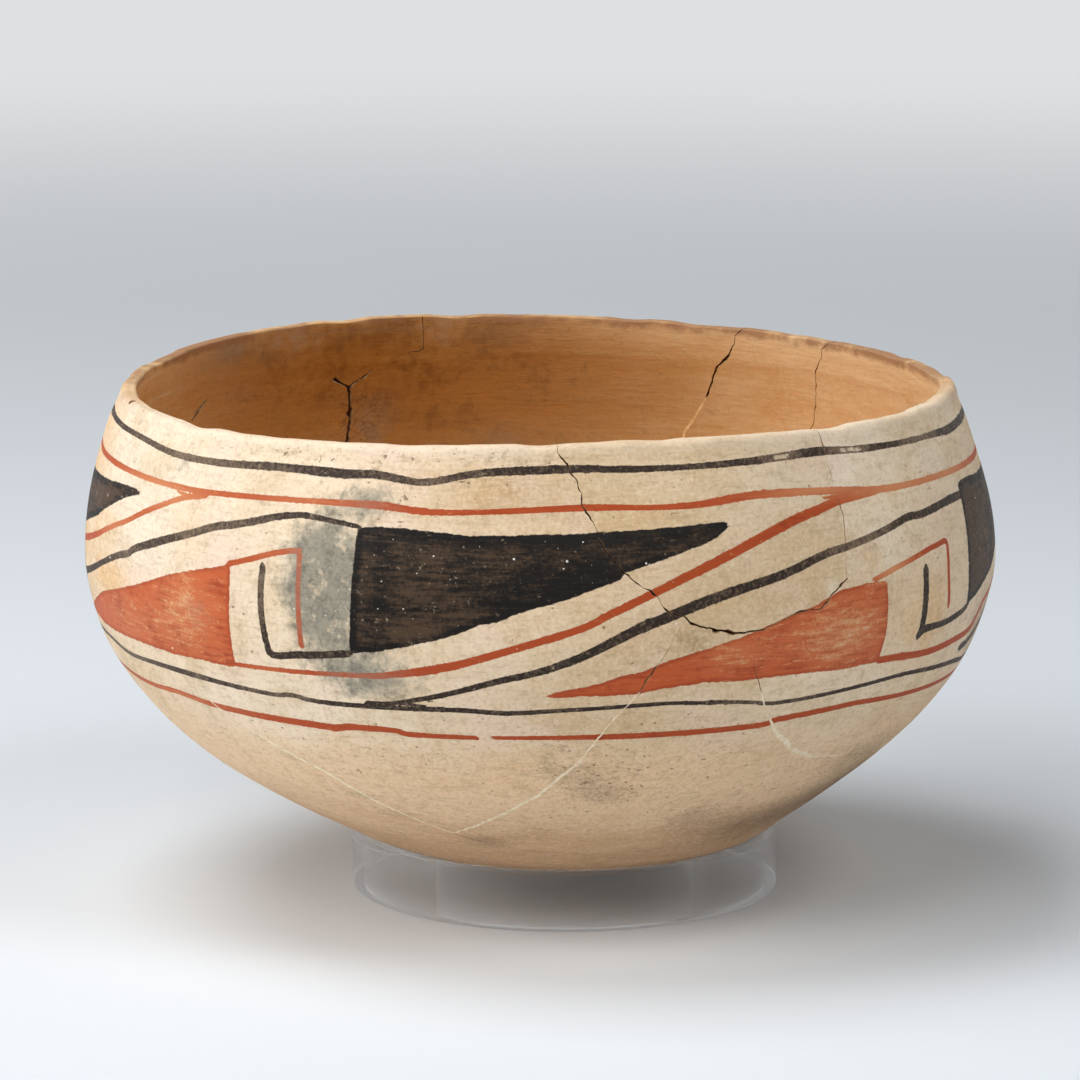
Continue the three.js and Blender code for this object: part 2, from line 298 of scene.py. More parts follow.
# Each joint: its path, the gap, how far its edges are chipped, and how far it wanders, in mm
JOINTS = [
    ([(2.2, ABOVE_RIM), (2.2, 136), (3.9, 131.9), (5.4, 126.3), (5.2, 124.1), (6.8, 118.8), (7.7, 113.2),
      (10.6, 106.3), (13.7, 101.3), (14.5, 98.5), (16, 96.9), FRONT_FORK], 0.08, 0.3, 0.5),
    ([FRONT_FORK, (17.9, 94.4), (19.8, 92.9), (21.8, 91.9), (23.3, 91.1), FRONT_STEP], 0.34, 0.9, 0.4),
    ([FRONT_STEP, (30.9, 94.1), (33.2, 95.1), (35.3, 94.8)], 0.12, 0.35, 0.2),
    ([(35.3, 94.8), (37.1, 97.9), RIGHT_STEP], 0.36, 0.7, 0.3),
    ([RIGHT_STEP, (40.1, 109), (40.5, 117)], 0.05, 0.14, 0.15),
    ([(40.5, 117), (40.2, 120.4)], 0.16, 0.35, 0.1),
    ([(40.2, 120.4), (39.8, 124.8), (39.6, 132.5)], 0.03, 0.1, 0.15),
    ([(39.6, 132.5), (39.4, 136), (39.4, ABOVE_RIM)], 0.1, 0.5, 0.3),
    ([FRONT_FORK, (15.6, 89.8), (14.5, 86), (13.7, 83.8)], 0.03, 0.1, 0.15),
    ([(13.7, 83.8), (12.7, 80.4), (11.8, 76.9)], 0.3, 0.4, 0.25),
    ([LEFT_FILL_END, (-55, 79), (-62, 92), (-68, 105), (-73, 119), (-77, 136), (-77, ABOVE_RIM)],
     0.03, 0.0, 0.0),
    ([FRONT_STEP, (26.2, 86), (26.7, 81)], 0.03, 0.08, 0.1),
    ([(26.7, 81), RIGHT_FILL_START], 0.14, 0.3, 0.15),
    ([RIGHT_FILL_END, (62, 46), (75, 40), (90, 33), RIGHT_FOOT], 0.05, 0.1, 0.1),
    ([(128.6, ABOVE_RIM), (128.6, 138), (131, 135), (133.4, 130.5), (134.3, 125), (136.7, 114), (137.9, 110),
      (140.5, 78), (143, 42), BACK_RIGHT_FOOT], [0.2, 0.16, 0.08, 0.06, 0.06], 0.35, 0.35),
    ([(146.8, ABOVE_RIM), (146.8, 138), (148.8, 135), (150.7, 130.5), (152.6, 127.5), (153.6, 123.5),
      BACK_FILL_START], [0.18, 0.3, 0.5, 0.4], 0.55, 0.3),
    ([BACK_FILL_END, (165.5, 45), BACK_FOOT], 0.1, 0.2, 0.2),
    ([(197.8, ABOVE_RIM), (197.8, 137), (197.5, 131), (199.5, 130.5)], 0.14, 0.5, 0.3),
    ([(199.5, 130.5), (205.5, 125.2)], 0.03, 0.0, 0.1),
    ([(205.5, 125.2), BACK_FORK], [0.25, 0.55], 0.8, 0.2),
    ([(210.8, ABOVE_RIM), (210.8, 137), (210.2, 131.8), (211, 123.5)], 0.03, 0.1, 0.2),
    ([(211, 123.5), BACK_FORK], [1.5, 0.45, 0.6], 0.8, 0.2),
    ([BACK_FORK, (207.9, 111), (208.4, 103.5), (211, 70), BACK_LEFT_FOOT],
     [0.8, 0.8, 0.4, 0.15, 0.1], 0.9, 0.4),
    ([FRONT_APEX, (-13.8, 27.5)], 0.25, 0.3, 0.1),
]
# Each filled joint: how wide it is from its first end to its last, in mm, and its path
FILLED_JOINTS = {
    "front_joint_fill": ([0.2, 0.3, 0.7, 0.9, 0.8, 0.5, 0.6, 0.9, 0.8, 0.5, 0.3], [
        (11.8, 76.9), (8.5, 68.5), (5, 57.5), (-0.8, 46.8), (-6.9, 39.5), (-13.1, 34.5), FRONT_APEX,
        (-23.8, 36), (-28, 42), (-33, 50.5), (-40, 57.5), (-46.2, 65), LEFT_FILL_END,
    ]),
    "right_joint_fill": ([0.3, 0.5, 1.3, 1.4, 1.0, 0.5, 0.2], [
        RIGHT_FILL_START, (29.2, 69.5), (32.3, 62), (36.9, 56), (42.3, 51.8), RIGHT_FILL_END,
    ]),
    "back_joint_fill": ([0.35, 0.7, 0.5, 0.3], [BACK_FILL_START, (158.8, 106), (161, 92), BACK_FILL_END]),
}
# A scar on the far left of the inside
GOUGE = [(238.4, 118), (237.3, 120.4), (235.7, 123)]
BASE_JOINT = [
    (-13.8, 27.5), (-4, 24.5), (10, 22.5), (26, 23.5), (44, 22), (62, 24), (84, 24), RIGHT_FOOT,
    (124, 24.5), BACK_RIGHT_FOOT, BACK_FOOT, (188, 23), BACK_LEFT_FOOT, (232, 24), (252, 22.5), (276, 25),
    (300, 23), (322, 26), (341.2, 30.9),
]
print(len(JOINTS), "stretches of open joint,", len(FILLED_JOINTS), "filled joints and the base's own joint")

# %% Sheets that follow the paths
MM_PER_DEGREE = 2.05
SHEET_STEP = 0.7
OVERRUN = 0.6
PAST_SKIN = 3.0
# Edges are chipped this deep below each skin; between them the sherds touch, so no light comes through
CHIP_DEPTH = 1.5
TOUCHING = 0.12
CHIP_EVERY = 2.2
ENDS_FADE_OVER = 4
# A scar on the inside only goes this deep under its skin, level by level
SCAR_DEPTHS = 0.4, 0.6, 0.7, 0.8
# How far apart a joint's bends are, in steps, and how strong they are
DRIFT = [(1.1, 0.45), (2.6, 0.45), (8, 0.6)]


def lengthened(path, distance):
    """The path in mm on the unrolled wall, with both ends made longer."""
    flat = np.array(path, float) * (MM_PER_DEGREE, 1)
    for end, following in ((0, 1), (-1, -2)):
        away = flat[end] - flat[following]
        flat[end] += away / np.linalg.norm(away) * distance
    return flat


def skin_at(flat):
    """Points on the outside, directions out of the wall, and the wall's thickness, for an unrolled path."""
    azimuth, height = flat[:, 0] / MM_PER_DEGREE, flat[:, 1]
    radius = np.interp(height, OUTSIDE[:, 1], OUTSIDE[:, 0])
    slope = np.column_stack([np.interp(height, OUTSIDE[:, 1], OUTWARD[:, axis]) for axis in (0, 1)])
    slope[height > OUTSIDE[-1, 1]] = (1, 0)
    slope = unit(slope)
    angle = np.radians(azimuth - 90)
    centre = lean(height) + AXIS
    bulge = wave(RIM_RADIUS_WAVES, RADIUS_WAVES_FROM, height, angle)
    bulge = bulge + swelling(azimuth, height, OUTSIDE_SEED)
    round_angle = np.column_stack([np.cos(angle), np.sin(angle)])
    points = np.column_stack([centre + (radius + bulge)[:, None] * round_angle, height])
    outward = np.column_stack([round_angle * slope[:, :1], slope[:, 1]])
    return points, outward, np.interp(height, OUTSIDE[:, 1], WALL)


def slow_random(draw, count, every):
    """Random values from -1 to 1 that change slowly from one point to the next."""
    knots = draw.uniform(-1, 1, int(count / every) + 3)
    return np.interp(np.arange(count) / every, np.arange(len(knots)), knots)


def sheet(name, path, gap, chipping, wander, seed, closed=False, blind=False):
    """A closed sheet through the wall, wider at the two skins, or one that only scars a skin."""
    draw = np.random.default_rng(seed)
    flat = np.array(path, float) * (MM_PER_DEGREE, 1) if closed else lengthened(path, OVERRUN)
    flat = evenly_spaced(flat, SHEET_STEP)
    count = len(flat)
    widths = np.atleast_1d(gap)
    gap = np.interp(np.linspace(0, 1, count), np.linspace(0, 1, len(widths)), widths)
    direction = unit(np.gradient(flat, axis=0))
    fade = np.minimum(1, np.minimum(np.arange(count), np.arange(count)[::-1]) / ENDS_FADE_OVER)
    drift = sum(slow_random(draw, count, every) * share for every, share in DRIFT)
    drift *= wander * fade
    flat = flat + np.column_stack([-direction[:, 1], direction[:, 0]]) * drift[:, None]
    points, outward, wall = skin_at(flat)
    side = unit(np.cross(np.gradient(points, axis=0), outward))
    if closed:
        side[0] = side[-1] = side[0] + side[-1]
        side[[0, -1]] /= np.linalg.norm(side[0])
    zero = 0 * wall
    levels = [wall + PAST_SKIN, wall, wall - CHIP_DEPTH, zero + CHIP_DEPTH, zero, zero - PAST_SKIN]
    if blind:
        levels[2:] = [wall - depth for depth in SCAR_DEPTHS]
    core_gap = np.minimum(gap, TOUCHING) if name == "joint" else gap
    flares = 1, 1, 0, 0, 1, 1
    # Most of an edge is hardly touched, and a few places are chipped deep
    rough = [np.maximum(slow_random(draw, count, CHIP_EVERY) * 1.5 - 0.3, 0.08) for _ in range(4)]
    chips = [chipping * share * fade for share in rough]
    left, right = [], []
    for index, (depth, flare) in enumerate(zip(levels, flares)):
        inner = int(index < 3)
        middle = points - outward * depth[:, None]
        half = (gap if flare else core_gap) / 2
        left.append(middle - side * (half + flare * chips[inner])[:, None])
        right.append(middle + side * (half + flare * chips[2 + inner])[:, None])
    rows = np.stack(left + right[::-1], 1)
    if closed:
        rows = rows[:-1]
    faces = tube_faces(len(rows), rows.shape[1], closed_rows=closed)
    if not closed:
        loop = list(range(rows.shape[1]))
        last = (len(rows) - 1) * len(loop)
        faces.append(loop[::-1])
        faces.append([last + corner for corner in loop])
    return new_object(name, rows.reshape(-1, 3), faces, broken_clay)


_, _, belly_wall = skin_at(np.array([[0.0, BODY_PROFILE[9, 1]]]))
print("wall at the belly's widest, in mm:", round(float(belly_wall[0]), 2))

# %% [markdown]
# ## Breaking the bowl
# Blender's manifold solver joins all the sheets to one cutter, takes it away from the wall once, and marks
# every face that comes from the cutter with the broken clay.

# %% Cut the joints
# Each chip that has gone from the rim: azimuth, width and depth
RIM_CHIPS = [(-76.5, 1.6, 0.7), (0.4, 1.6, 0.5), (118, 1.0, 0.6), (171, 1.4, 0.9), (223, 1.5, 1.0)]
# The chip's cutter, from below upwards: height as a share of the depth, and size as a share of the width
CHIP_LEVELS = [(-1.0, 0.35), (-0.4, 0.85), (0.6, 1.25), (2.5, 1.5)]
CHIP_OUTWARDS = 1.2
CHIP_SIDES = 8
CHIP_ROUGHNESS = 0.25
JOINT_SEED, FILL_SEED, BASE_SEED, GOUGE_SEED, CHIP_SEED = 100, 200, 300, 400, 40


def modified_mesh(made):
    """The plain mesh that an object's modifiers make. The modifiers are taken off it."""
    evaluated = made.evaluated_get(bpy.context.evaluated_depsgraph_get())
    mesh = bpy.data.meshes.new_from_object(evaluated)
    made.modifiers.clear()
    return mesh


def boolean(target, tool, operation):
    """The target joined with or cut by the tool, as a new plain mesh in its place."""
    modifier = target.modifiers.new("boolean", "BOOLEAN")
    modifier.operation = operation
    modifier.solver = "MANIFOLD"
    modifier.object = tool
    modifier.material_mode = "TRANSFER"
    target.data = modified_mesh(target)
    bpy.data.objects.remove(tool)
    return target


def rim_chip(index, azimuth, width, depth):
    """A rough little block over the crest of the rim, for a chip that has gone."""
    draw = np.random.default_rng(CHIP_SEED + index)
    around = np.linspace(0, 2 * math.pi, CHIP_SIDES + 1)[:-1]
    crest = wall_points(CREST_RADIUS, RIM_HEIGHT, azimuth)
    outward = CHIP_OUTWARDS * np.array([math.sin(math.radians(azimuth)), -math.cos(math.radians(azimuth)), 0])
    rows = []
    for height, size in CHIP_LEVELS:
        rough = size * (1 + CHIP_ROUGHNESS * draw.uniform(-1, 1, CHIP_SIDES))
        angle = around + math.radians(azimuth)
        ring = np.column_stack([np.cos(angle) * rough * width, np.sin(angle) * rough * width * 0.9,
                                np.full(CHIP_SIDES, height * depth)])
        rows.append(ring + crest + outward)
    points = np.vstack(rows)
    faces = tube_faces(len(rows), CHIP_SIDES)
    faces.append(list(range(CHIP_SIDES))[::-1])
    faces.append(list(range(len(points) - CHIP_SIDES, len(points))))
    return new_object("rim_chip", points, faces, broken_clay)


def faces_out(made):
    """Turns the faces of a small closed mesh outwards."""
    work = bmesh.new()
    work.from_mesh(made.data)
    bmesh.ops.recalc_face_normals(work, faces=work.faces)
    work.to_mesh(made.data)
    work.free()
    return made


fills = {}
tools = [sheet("joint", *joint, seed=JOINT_SEED + index) for index, joint in enumerate(JOINTS)]
for index, (name, (widths, path)) in enumerate(FILLED_JOINTS.items()):
    slot = sheet("filled_" + name, path, widths, 0.2, 0.25, seed=FILL_SEED + index)
    taken_out = slot.copy()
    taken_out.data = slot.data.copy()
    taken_out.name = "pale_" + name
    fills[name] = boolean(faces_out(linked(taken_out)), linked(bowl.copy()), "INTERSECT")
    tools.append(slot)
tools.append(sheet("joint", BASE_JOINT, 0.05, 0.05, 0.0, seed=BASE_SEED, closed=True))
tools.append(sheet("gouge", GOUGE, [0.5, 1.2, 0.4], 0.5, 0.2, seed=GOUGE_SEED, blind=True))
tools += [rim_chip(index, *chip) for index, chip in enumerate(RIM_CHIPS)]
cutter = faces_out(tools[0])
for tool in tools[1:]:
    boolean(cutter, faces_out(tool), "UNION")
print("cutter:", len(cutter.data.polygons), "faces")
boolean(bowl, cutter, "DIFFERENCE")
print("broken wall:", len(bowl.data.polygons), "faces")

# %% [markdown]
# ## Falling apart into sherds
# The cut wall is one mesh of loose pieces: nine sherds, and crumbs where a rough joint cut off a splinter.
# The crumbs are lost, as on the real bowl. Each sherd becomes an object of its own, and takes the name of the
# CAD sherd whose middle is nearest, with the base told by its small radius.

# %% Name the sherds
SHERD_MIDDLES = {
    "front_rim": (22, 115), "front_left": (-30, 100), "front_lower": (20, 50), "right": (80, 85),
    "back_right": (151, 90), "back": (185, 85), "back_rim": (204, 131), "back_left": (250, 80),
}
BASE_RADIUS = 25
CRUMB_POINTS = 600


def points_of(made):
    flat = np.empty(len(made.data.vertices) * 3, np.float32)
    made.data.vertices.foreach_get("co", flat)
    return flat.reshape(-1, 3).astype(float) / MM


def unrolled(points):
    """Azimuth, height and radius of points. A few rounds of guessing take the slow waves and the lean off."""
    height = points[:, 2].copy()
    for _ in range(4):
        offset = points[:, :2] - AXIS - lean(height)
        angle = np.arctan2(offset[:, 1], offset[:, 0])
        height = points[:, 2] - wave(RIM_HEIGHT_WAVES, HEIGHT_WAVES_FROM, height, angle)
    azimuth = (np.degrees(angle) + 270) % 360 - 180
    bulge = wave(RIM_RADIUS_WAVES, RADIUS_WAVES_FROM, height, angle)
    return azimuth, height, np.linalg.norm(offset, axis=1) - bulge


def nearest_sherd(loose):
    azimuth, height, radius = (value[0] for value in unrolled(points_of(loose).mean(0)[None]))
    if radius < BASE_RADIUS:
        return "base"
    distances = {}
    for name, (middle, middle_height) in SHERD_MIDDLES.items():
        turn = (middle - azimuth + 180) % 360 - 180
        distances[name] = math.hypot(turn * MM_PER_DEGREE, middle_height - height)
    return min(distances, key=distances.get)


bpy.ops.object.select_all(action="DESELECT")
bowl.select_set(True)
bpy.context.view_layer.objects.active = bowl
bpy.ops.mesh.separate(type="LOOSE")
sherds = {}
for loose in list(bpy.context.selected_objects):
    if len(loose.data.vertices) < CRUMB_POINTS:
        bpy.data.objects.remove(loose)
        continue
    name = nearest_sherd(loose)
    loose.name = loose.data.name = "painted_" + name + "_sherd"
    sherds[name] = loose
    print(loose.name, len(loose.data.vertices), "points")

# %% [markdown]
# ## The painted band, as strokes of a brush
# The painter drew four long lines round the bowl and, between them, the same unit four times: a black
# triangle with a hook, a red triangle with a hook, and two long slanting lines. Strokes are kept as paths of
# azimuth and height, as they lie on the unrolled wall. The photograph shows the front unit and parts of its
# neighbours. The rest is drawn again further round, with the small slips that a hand makes.

# %% Long lines and the front unit
UPPER_BLACK = [
    (-84, 130.7), (-75, 130.3), (-65, 129.9), (-55, 128.6), (-45, 128.9), (-35, 130.1), (-25, 129.9),
    (-21.3, 130.2), (-18.6, 129.6), (-15.2, 128.8), (-12.5, 129.4), (-9.4, 130.7), (-5, 131.5), (5.6, 131.8),
    (10, 131.4), (20, 131.4), (30, 131.9), (38, 132.4), (45, 131.7), (55, 131.1), (65, 130.6), (70, 130.1),
]
UPPER_RED = [
    (-85, 121.9), (-80, 121.3), (-65, 120.8), (-50, 121), (-40, 121.8), (-30, 122.6), (-20, 122.9),
    (-13.6, 121.9), (-5, 122.4), (6, 123.1), (14, 122.7), (20, 122.9), (26.5, 124.1), (34, 123.8),
    (41.7, 122.7), (48, 121.5), (60, 121), (70, 120.7),
]
LOWER_BLACK = [
    (-75, 74.4), (-71, 74.1), (-65, 73.3), (-57, 73.8), (-49.5, 73.6), (-42.6, 73), (-35, 72.4), (-32, 73),
    (-28.6, 72.1), (-20, 72.3), (-10, 72.7), (-4, 72.1), (2.5, 72.9), (14, 73.9), (20, 73.4), (26.3, 72.4),
    (30.5, 71.2), (40, 71.8), (51.7, 72.2), (60, 71.2), (68, 70.1), (73, 68.8),
]
LOWER_RED = [
    (-5.8, 65.1), (0, 65.2), (11, 65.2), (25, 65.2), (30, 65.4), (31.5, 66.4), (40, 67), (44.6, 67.1),
    (49, 66.5), (60, 65.5), (85, 65.1), (110, 66), (140, 65.4), (175, 66.3), (205, 65.2), (235, 66.2),
    (268, 65.5), (285, 66.1), (300, 66.5), (306.2, 66.9), (314.6, 65.6), (330, 65.2), (333.1, 65),
    (335.4, 65.8), (341.5, 65.9), (343.1, 65.1), (351.9, 65),
]
RED_SLANT = [
    (-40, 79.2), (-35, 79.4), (-30, 79.7), (-25, 80.2), (-20, 80.7), (-16.7, 81.8), (-13.6, 82.9),
    (-10, 84.6), (-5, 87.8), (0, 91.1), (5.2, 94.6), (8.3, 97.8), (12.2, 101.3), (16, 104.7), (20, 108),
    (25.5, 112.3), (29.4, 115.1), (33.2, 117.4), (37, 119.1), (40.2, 120.5), (43.2, 121), (46.7, 121.5),
]
RED_SLANT_LEFT = [
    (-88, 95.5), (-80, 98.6), (-76.5, 100.2), (-73.4, 101.9), (-70.7, 103.8), (-67.2, 106.3), (-63.4, 108.8),
    (-60, 111.6), (-57.2, 113.8), (-55, 115.4), (-51.8, 117.8), (-49.5, 119.1), (-46, 120.4),
]
RED_SLANT_RIGHT = [(46.5, 78.2), (50.2, 77.8), (57.5, 76.6), (65.2, 77.2), (70.9, 77.9)]
BLACK_SLANT = [
    (-21.3, 73.3), (-18.6, 73.5), (-14.8, 75.1), (-10, 77.6), (-5, 80.7), (0, 83.3), (4.8, 87.1),
    (9.5, 91.9), (12.2, 94.4), (15.2, 96.5), (20, 99.8), (25, 102.3), (30, 104.4), (35.2, 107.3),
    (37.8, 108.5), (40.2, 109.1), (44.8, 110.7), (48.6, 112.3), (51.9, 113.6), (54.8, 113.4), (62.1, 114.4),
    (67.1, 114.4),
]
BLACK_SLANT_LEFT = [
    (-88, 86.4), (-80, 89.9), (-75, 92.4), (-70, 95.8), (-67.2, 97.8), (-64.2, 99.8), (-61.8, 100.9),
    (-60, 102.8), (-55, 106), (-50, 109.1), (-46.5, 111.3), (-43.4, 113.4), (-40, 114.8), (-36.5, 116.6),
    (-34.2, 117.9), (-31.5, 118.8), (-29.8, 119.1), (-26.3, 118.5), (-22.5, 117.6),
]
BLACK_TOP = [
    (-22.5, 117.3), (-20, 117.9), (-16.7, 117.9), (-13.6, 117.3), (-7.8, 116.6), (0, 116.9), (10, 117.4),
    (20, 118.3), (23.3, 118.5),
]
BLACK_FOOT = [
    (23.7, 117.6), (22.9, 116.3), (21, 114.1), (17.9, 112.3), (15.2, 110.5), (10.2, 107.6), (9.5, 106),
    (6.8, 104.1), (2.9, 101.2), (-2.5, 98.1), (-5, 95.8), (-7.1, 95.1), (-10, 92.3), (-12.5, 90.7),
    (-17.5, 88.2), (-20, 86.9), (-23, 86.2),
]
BLACK_TIP_LEFT = [
    (-88, 115.1), (-80, 115.9), (-75, 116.1), (-70, 116.8), (-65, 117.3), (-60.2, 117.1), (-61.5, 116.1),
    (-65, 114.4), (-67.6, 112.4), (-71.5, 109.1), (-75, 106), (-80, 103.2), (-88, 99.4),
]
BLACK_HOOK = [
    (-23.2, 86), (-26.3, 85.1), (-30.2, 84.2), (-33.9, 83.3), (-34.5, 86), (-34.8, 89.8), (-35.2, 97.3),
    (-35.1, 105.4),
]
BLACK_HOOK_RIGHT = [
    (67, 85.6), (65.2, 84.6), (62.5, 84), (60.2, 83.5), (57.5, 83.6), (54.8, 83.5), (54, 82.3), (54.4, 84.8),
    (54.3, 89), (54.3, 95.4), (54.2, 99.4),
]
RED_FIELD = [
    (-0.2, 76.2), (2, 77.9), (7.2, 80.1), (9.5, 81.8), (12.2, 82.9), (15.2, 85.3), (20, 87.6), (25, 90.5),
    (30, 93.5), (35, 96), (37.5, 97.9), (38.6, 98.8), (43.2, 99.2), (46.5, 99.1), (46.7, 86), (46.3, 77.9),
    (41, 77.9), (35, 78.5), (25, 78.5), (20, 78.8), (15.2, 78), (12.2, 76.9), (4.5, 76.6),
]
RED_FIELD_LEFT = [
    (-84.4, 78.4), (-80, 81.3), (-75, 84.8), (-70, 88.2), (-63.4, 91.5), (-60, 93.3), (-55, 96.6),
    (-50, 100), (-45, 102.6), (-40, 104.8), (-40, 78.2), (-60, 78.5), (-74.5, 77.6),
]
RED_HOOK_LEFT = [
    (-40.5, 104.9), (-38, 106.4), (-35.7, 107.9), (-33.4, 109.3), (-30.3, 110.5), (-29.9, 109), (-29.8, 98.5),
    (-29.5, 87),
]
RED_HOOK = [
    (44.4, 99.9), (47.1, 101.3), (50.2, 102.6), (54.8, 104.3), (57.5, 104.8), (59.8, 104.9), (60, 101),
    (60, 95.4), (60.3, 88.2),
]
print("front unit:", len(RED_SLANT) + len(BLACK_SLANT), "places on its two slanting lines")

# %% [markdown]
# The helpers below draw a stroke again at another turn, and close the long lines round the hidden side.

# %% The whole band
SLIP_OF_HAND = 0.5
HIDDEN_PLACES = 26


def again(path, turn, seed, low=-999, high=999):
    """The part of a stroke between two azimuths, drawn again further round by a hand that isn't a machine."""
    draw = np.random.default_rng(seed)
    slips = [slow_random(draw, len(path), 3) * SLIP_OF_HAND for _ in range(2)]
    moved = [(azimuth + turn + slip, height + rise) for (azimuth, height), slip, rise in zip(path, *slips)]
    return [place for place in moved if low < place[0] < high]


def right_round(path, seed):
    """A line that goes on round the hidden side, from its last place back to its first."""
    draw = np.random.default_rng(seed)
    start, end = path[-1], (path[0][0] + 360, path[0][1])
    azimuths = np.linspace(start[0], end[0], HIDDEN_PLACES)
    heights = np.linspace(start[1], end[1], HIDDEN_PLACES)
    heights += slow_random(draw, HIDDEN_PLACES, 2) * SLIP_OF_HAND
    hidden = list(zip(azimuths, heights))[1:-1]
    whole = path + hidden
    return [(whole[-1][0] - 360, whole[-1][1])] + whole + [end, (whole[1][0] + 360, whole[1][1])]


# The brush was pressed harder in places: azimuths, and the stroke's width there in mm
UPPER_BLACK_WIDTHS = [
    (-65, 1.6), (-45, 2), (-25, 2.3), (-15, 1.6), (0, 1.8), (10, 1.4), (20, 1.2), (30, 1.6), (38, 2),
    (45, 1.5), (60, 1.3), (70, 2),
]
LOWER_BLACK_WIDTHS = [
    (-60, 1.2), (-49, 1.6), (-40, 1.2), (-20, 1.3), (-10, 1.3), (14, 1), (50, 1.1), (66, 1.4),
]
BLACK_SLANT_WIDTHS = [(-20, 1.1), (-13, 1.3), (0, 1.8), (12, 2.6), (20, 2.6), (30, 2.2), (44, 1.8), (60, 2)]
BLACK_LEFT_WIDTHS = [(-85, 2), (-70, 1.6), (-55, 2.1), (-36, 1.8), (-24, 1.1)]
UPPER_RED_WIDTHS = [(-65, 1.4), (-30, 1.3), (-20, 1.8), (-8, 1.2), (6, 1.6), (14, 1.2), (25, 1.9), (60, 1.5)]
LOWER_RED_WIDTHS = [(-6, 1), (11, 1.6), (40, 1.6), (60, 1.3), (298, 1.3), (330, 2), (343, 1.5), (352, 1.2)]
RED_SLANT_WIDTHS = [(-40, 1.1), (-22, 1.3), (-14, 2.1), (0, 1.8), (10, 1.8), (20, 2.2), (30, 2.4), (46, 2)]
RED_LEFT_WIDTHS = [(-85, 1.9), (-65, 1.4)]
HOOK_WIDTHS = [(54.5, 2.4), (58, 1.8)]

# Each stroke: its width or widths, and its path
BLACK_STROKES = [
    (UPPER_BLACK_WIDTHS, right_round(UPPER_BLACK, 1)), (LOWER_BLACK_WIDTHS, right_round(LOWER_BLACK, 2)),
    (BLACK_SLANT_WIDTHS, BLACK_SLANT),
    (BLACK_LEFT_WIDTHS, again(BLACK_SLANT, -91.7, 3, high=-89) + BLACK_SLANT_LEFT),
    (2.1, again(BLACK_SLANT, 89.3, 4)), (2.1, again(BLACK_SLANT, 177.5, 5)),
    (1.8, BLACK_HOOK), (HOOK_WIDTHS, BLACK_HOOK_RIGHT), (1.9, again(BLACK_HOOK, 178, 6)),
    (1.9, again(BLACK_HOOK, 272.5, 7)),
]
RED_STROKES = [
    (UPPER_RED_WIDTHS, right_round(UPPER_RED, 11)), (LOWER_RED_WIDTHS, LOWER_RED),
    (RED_SLANT_WIDTHS, RED_SLANT),
    (RED_LEFT_WIDTHS, again(RED_SLANT, -93.5, 13, high=-89) + RED_SLANT_LEFT),
    (1.9, RED_SLANT_RIGHT + again(RED_SLANT, 89, 14, low=73)), (1.9, again(RED_SLANT, 178, 15)),
    (1.4, RED_HOOK_LEFT), (1.4, RED_HOOK), (1.4, again(RED_HOOK, 88, 16)),
    (1.4, again(RED_HOOK[:5], 178, 17) + again(RED_HOOK[5:], 183, 18)),
]
BLACK_FIELDS = [
    BLACK_TOP + BLACK_FOOT,
    again(BLACK_TOP, 89.1, 21) + again(BLACK_FOOT, 89.1, 22),
    again(BLACK_TOP, 178, 23) + again(BLACK_FOOT, 178, 24),
    again(BLACK_TOP, -87.5, 25, high=-89) + BLACK_TIP_LEFT + again(BLACK_FOOT, -87.5, 26, high=-89),
]
RED_FIELDS = [RED_FIELD, RED_FIELD_LEFT, again(RED_FIELD, 88, 27), again(RED_FIELD, 178, 28)]
print(len(BLACK_STROKES + RED_STROKES), "strokes,", len(BLACK_FIELDS + RED_FIELDS), "filled triangles")

# %% [markdown]
# ## From strokes to paint
# A mesh this fine still can't hold the crisp edge of a brush line in its points. So each point stores how far
# it lies to one side of the nearest stroke, in half widths. That number changes evenly across the line, and
# the material can find the edge between two points exactly. A second number, the guard, says how far the
# point is inside the line's width, and stops paint where the sides of two different lines meet.
# For a filled triangle, each point stores how deep it lies inside the edge.

# %% Distances to strokes and fields
# How far round a stroke its paint is worked out, and what is stored where no stroke is near, in mm
REACH = 7.0
FAR = 9.0


def beside(azimuth, height, flat):
    """Unrolled places near a path, turned to the path's side of the bowl, and which of all they are."""
    whole_turn = 360 * MM_PER_DEGREE
    middle = (flat[:, 0].min() + flat[:, 0].max()) / 2
    across = middle + (azimuth * MM_PER_DEGREE - middle + whole_turn / 2) % whole_turn - whole_turn / 2
    places = np.column_stack([across, height])
    near = ((places > flat.min(0) - REACH) & (places < flat.max(0) + REACH)).all(1)
    return places[near], np.flatnonzero(near)


def nearest_on(places, flat):
    """Distance to a path, and on which side of it each place lies."""
    best = np.full(len(places), np.inf)
    side = np.zeros(len(places))
    for start, end in zip(flat, flat[1:]):
        run = end - start
        length = np.linalg.norm(run)
        offset = places - start
        share = np.clip(offset @ run / length**2, 0, 1)
        distance = np.linalg.norm(offset - share[:, None] * run, axis=1)
        across = (run[0] * offset[:, 1] - run[1] * offset[:, 0]) / length
        closer = (distance < best - 1e-6) | ((distance < best + 1e-6) & (abs(across) > abs(side)))
        best = np.where(closer, distance, best)
        side = np.where(closer, across, side)
    return best, np.sign(side)


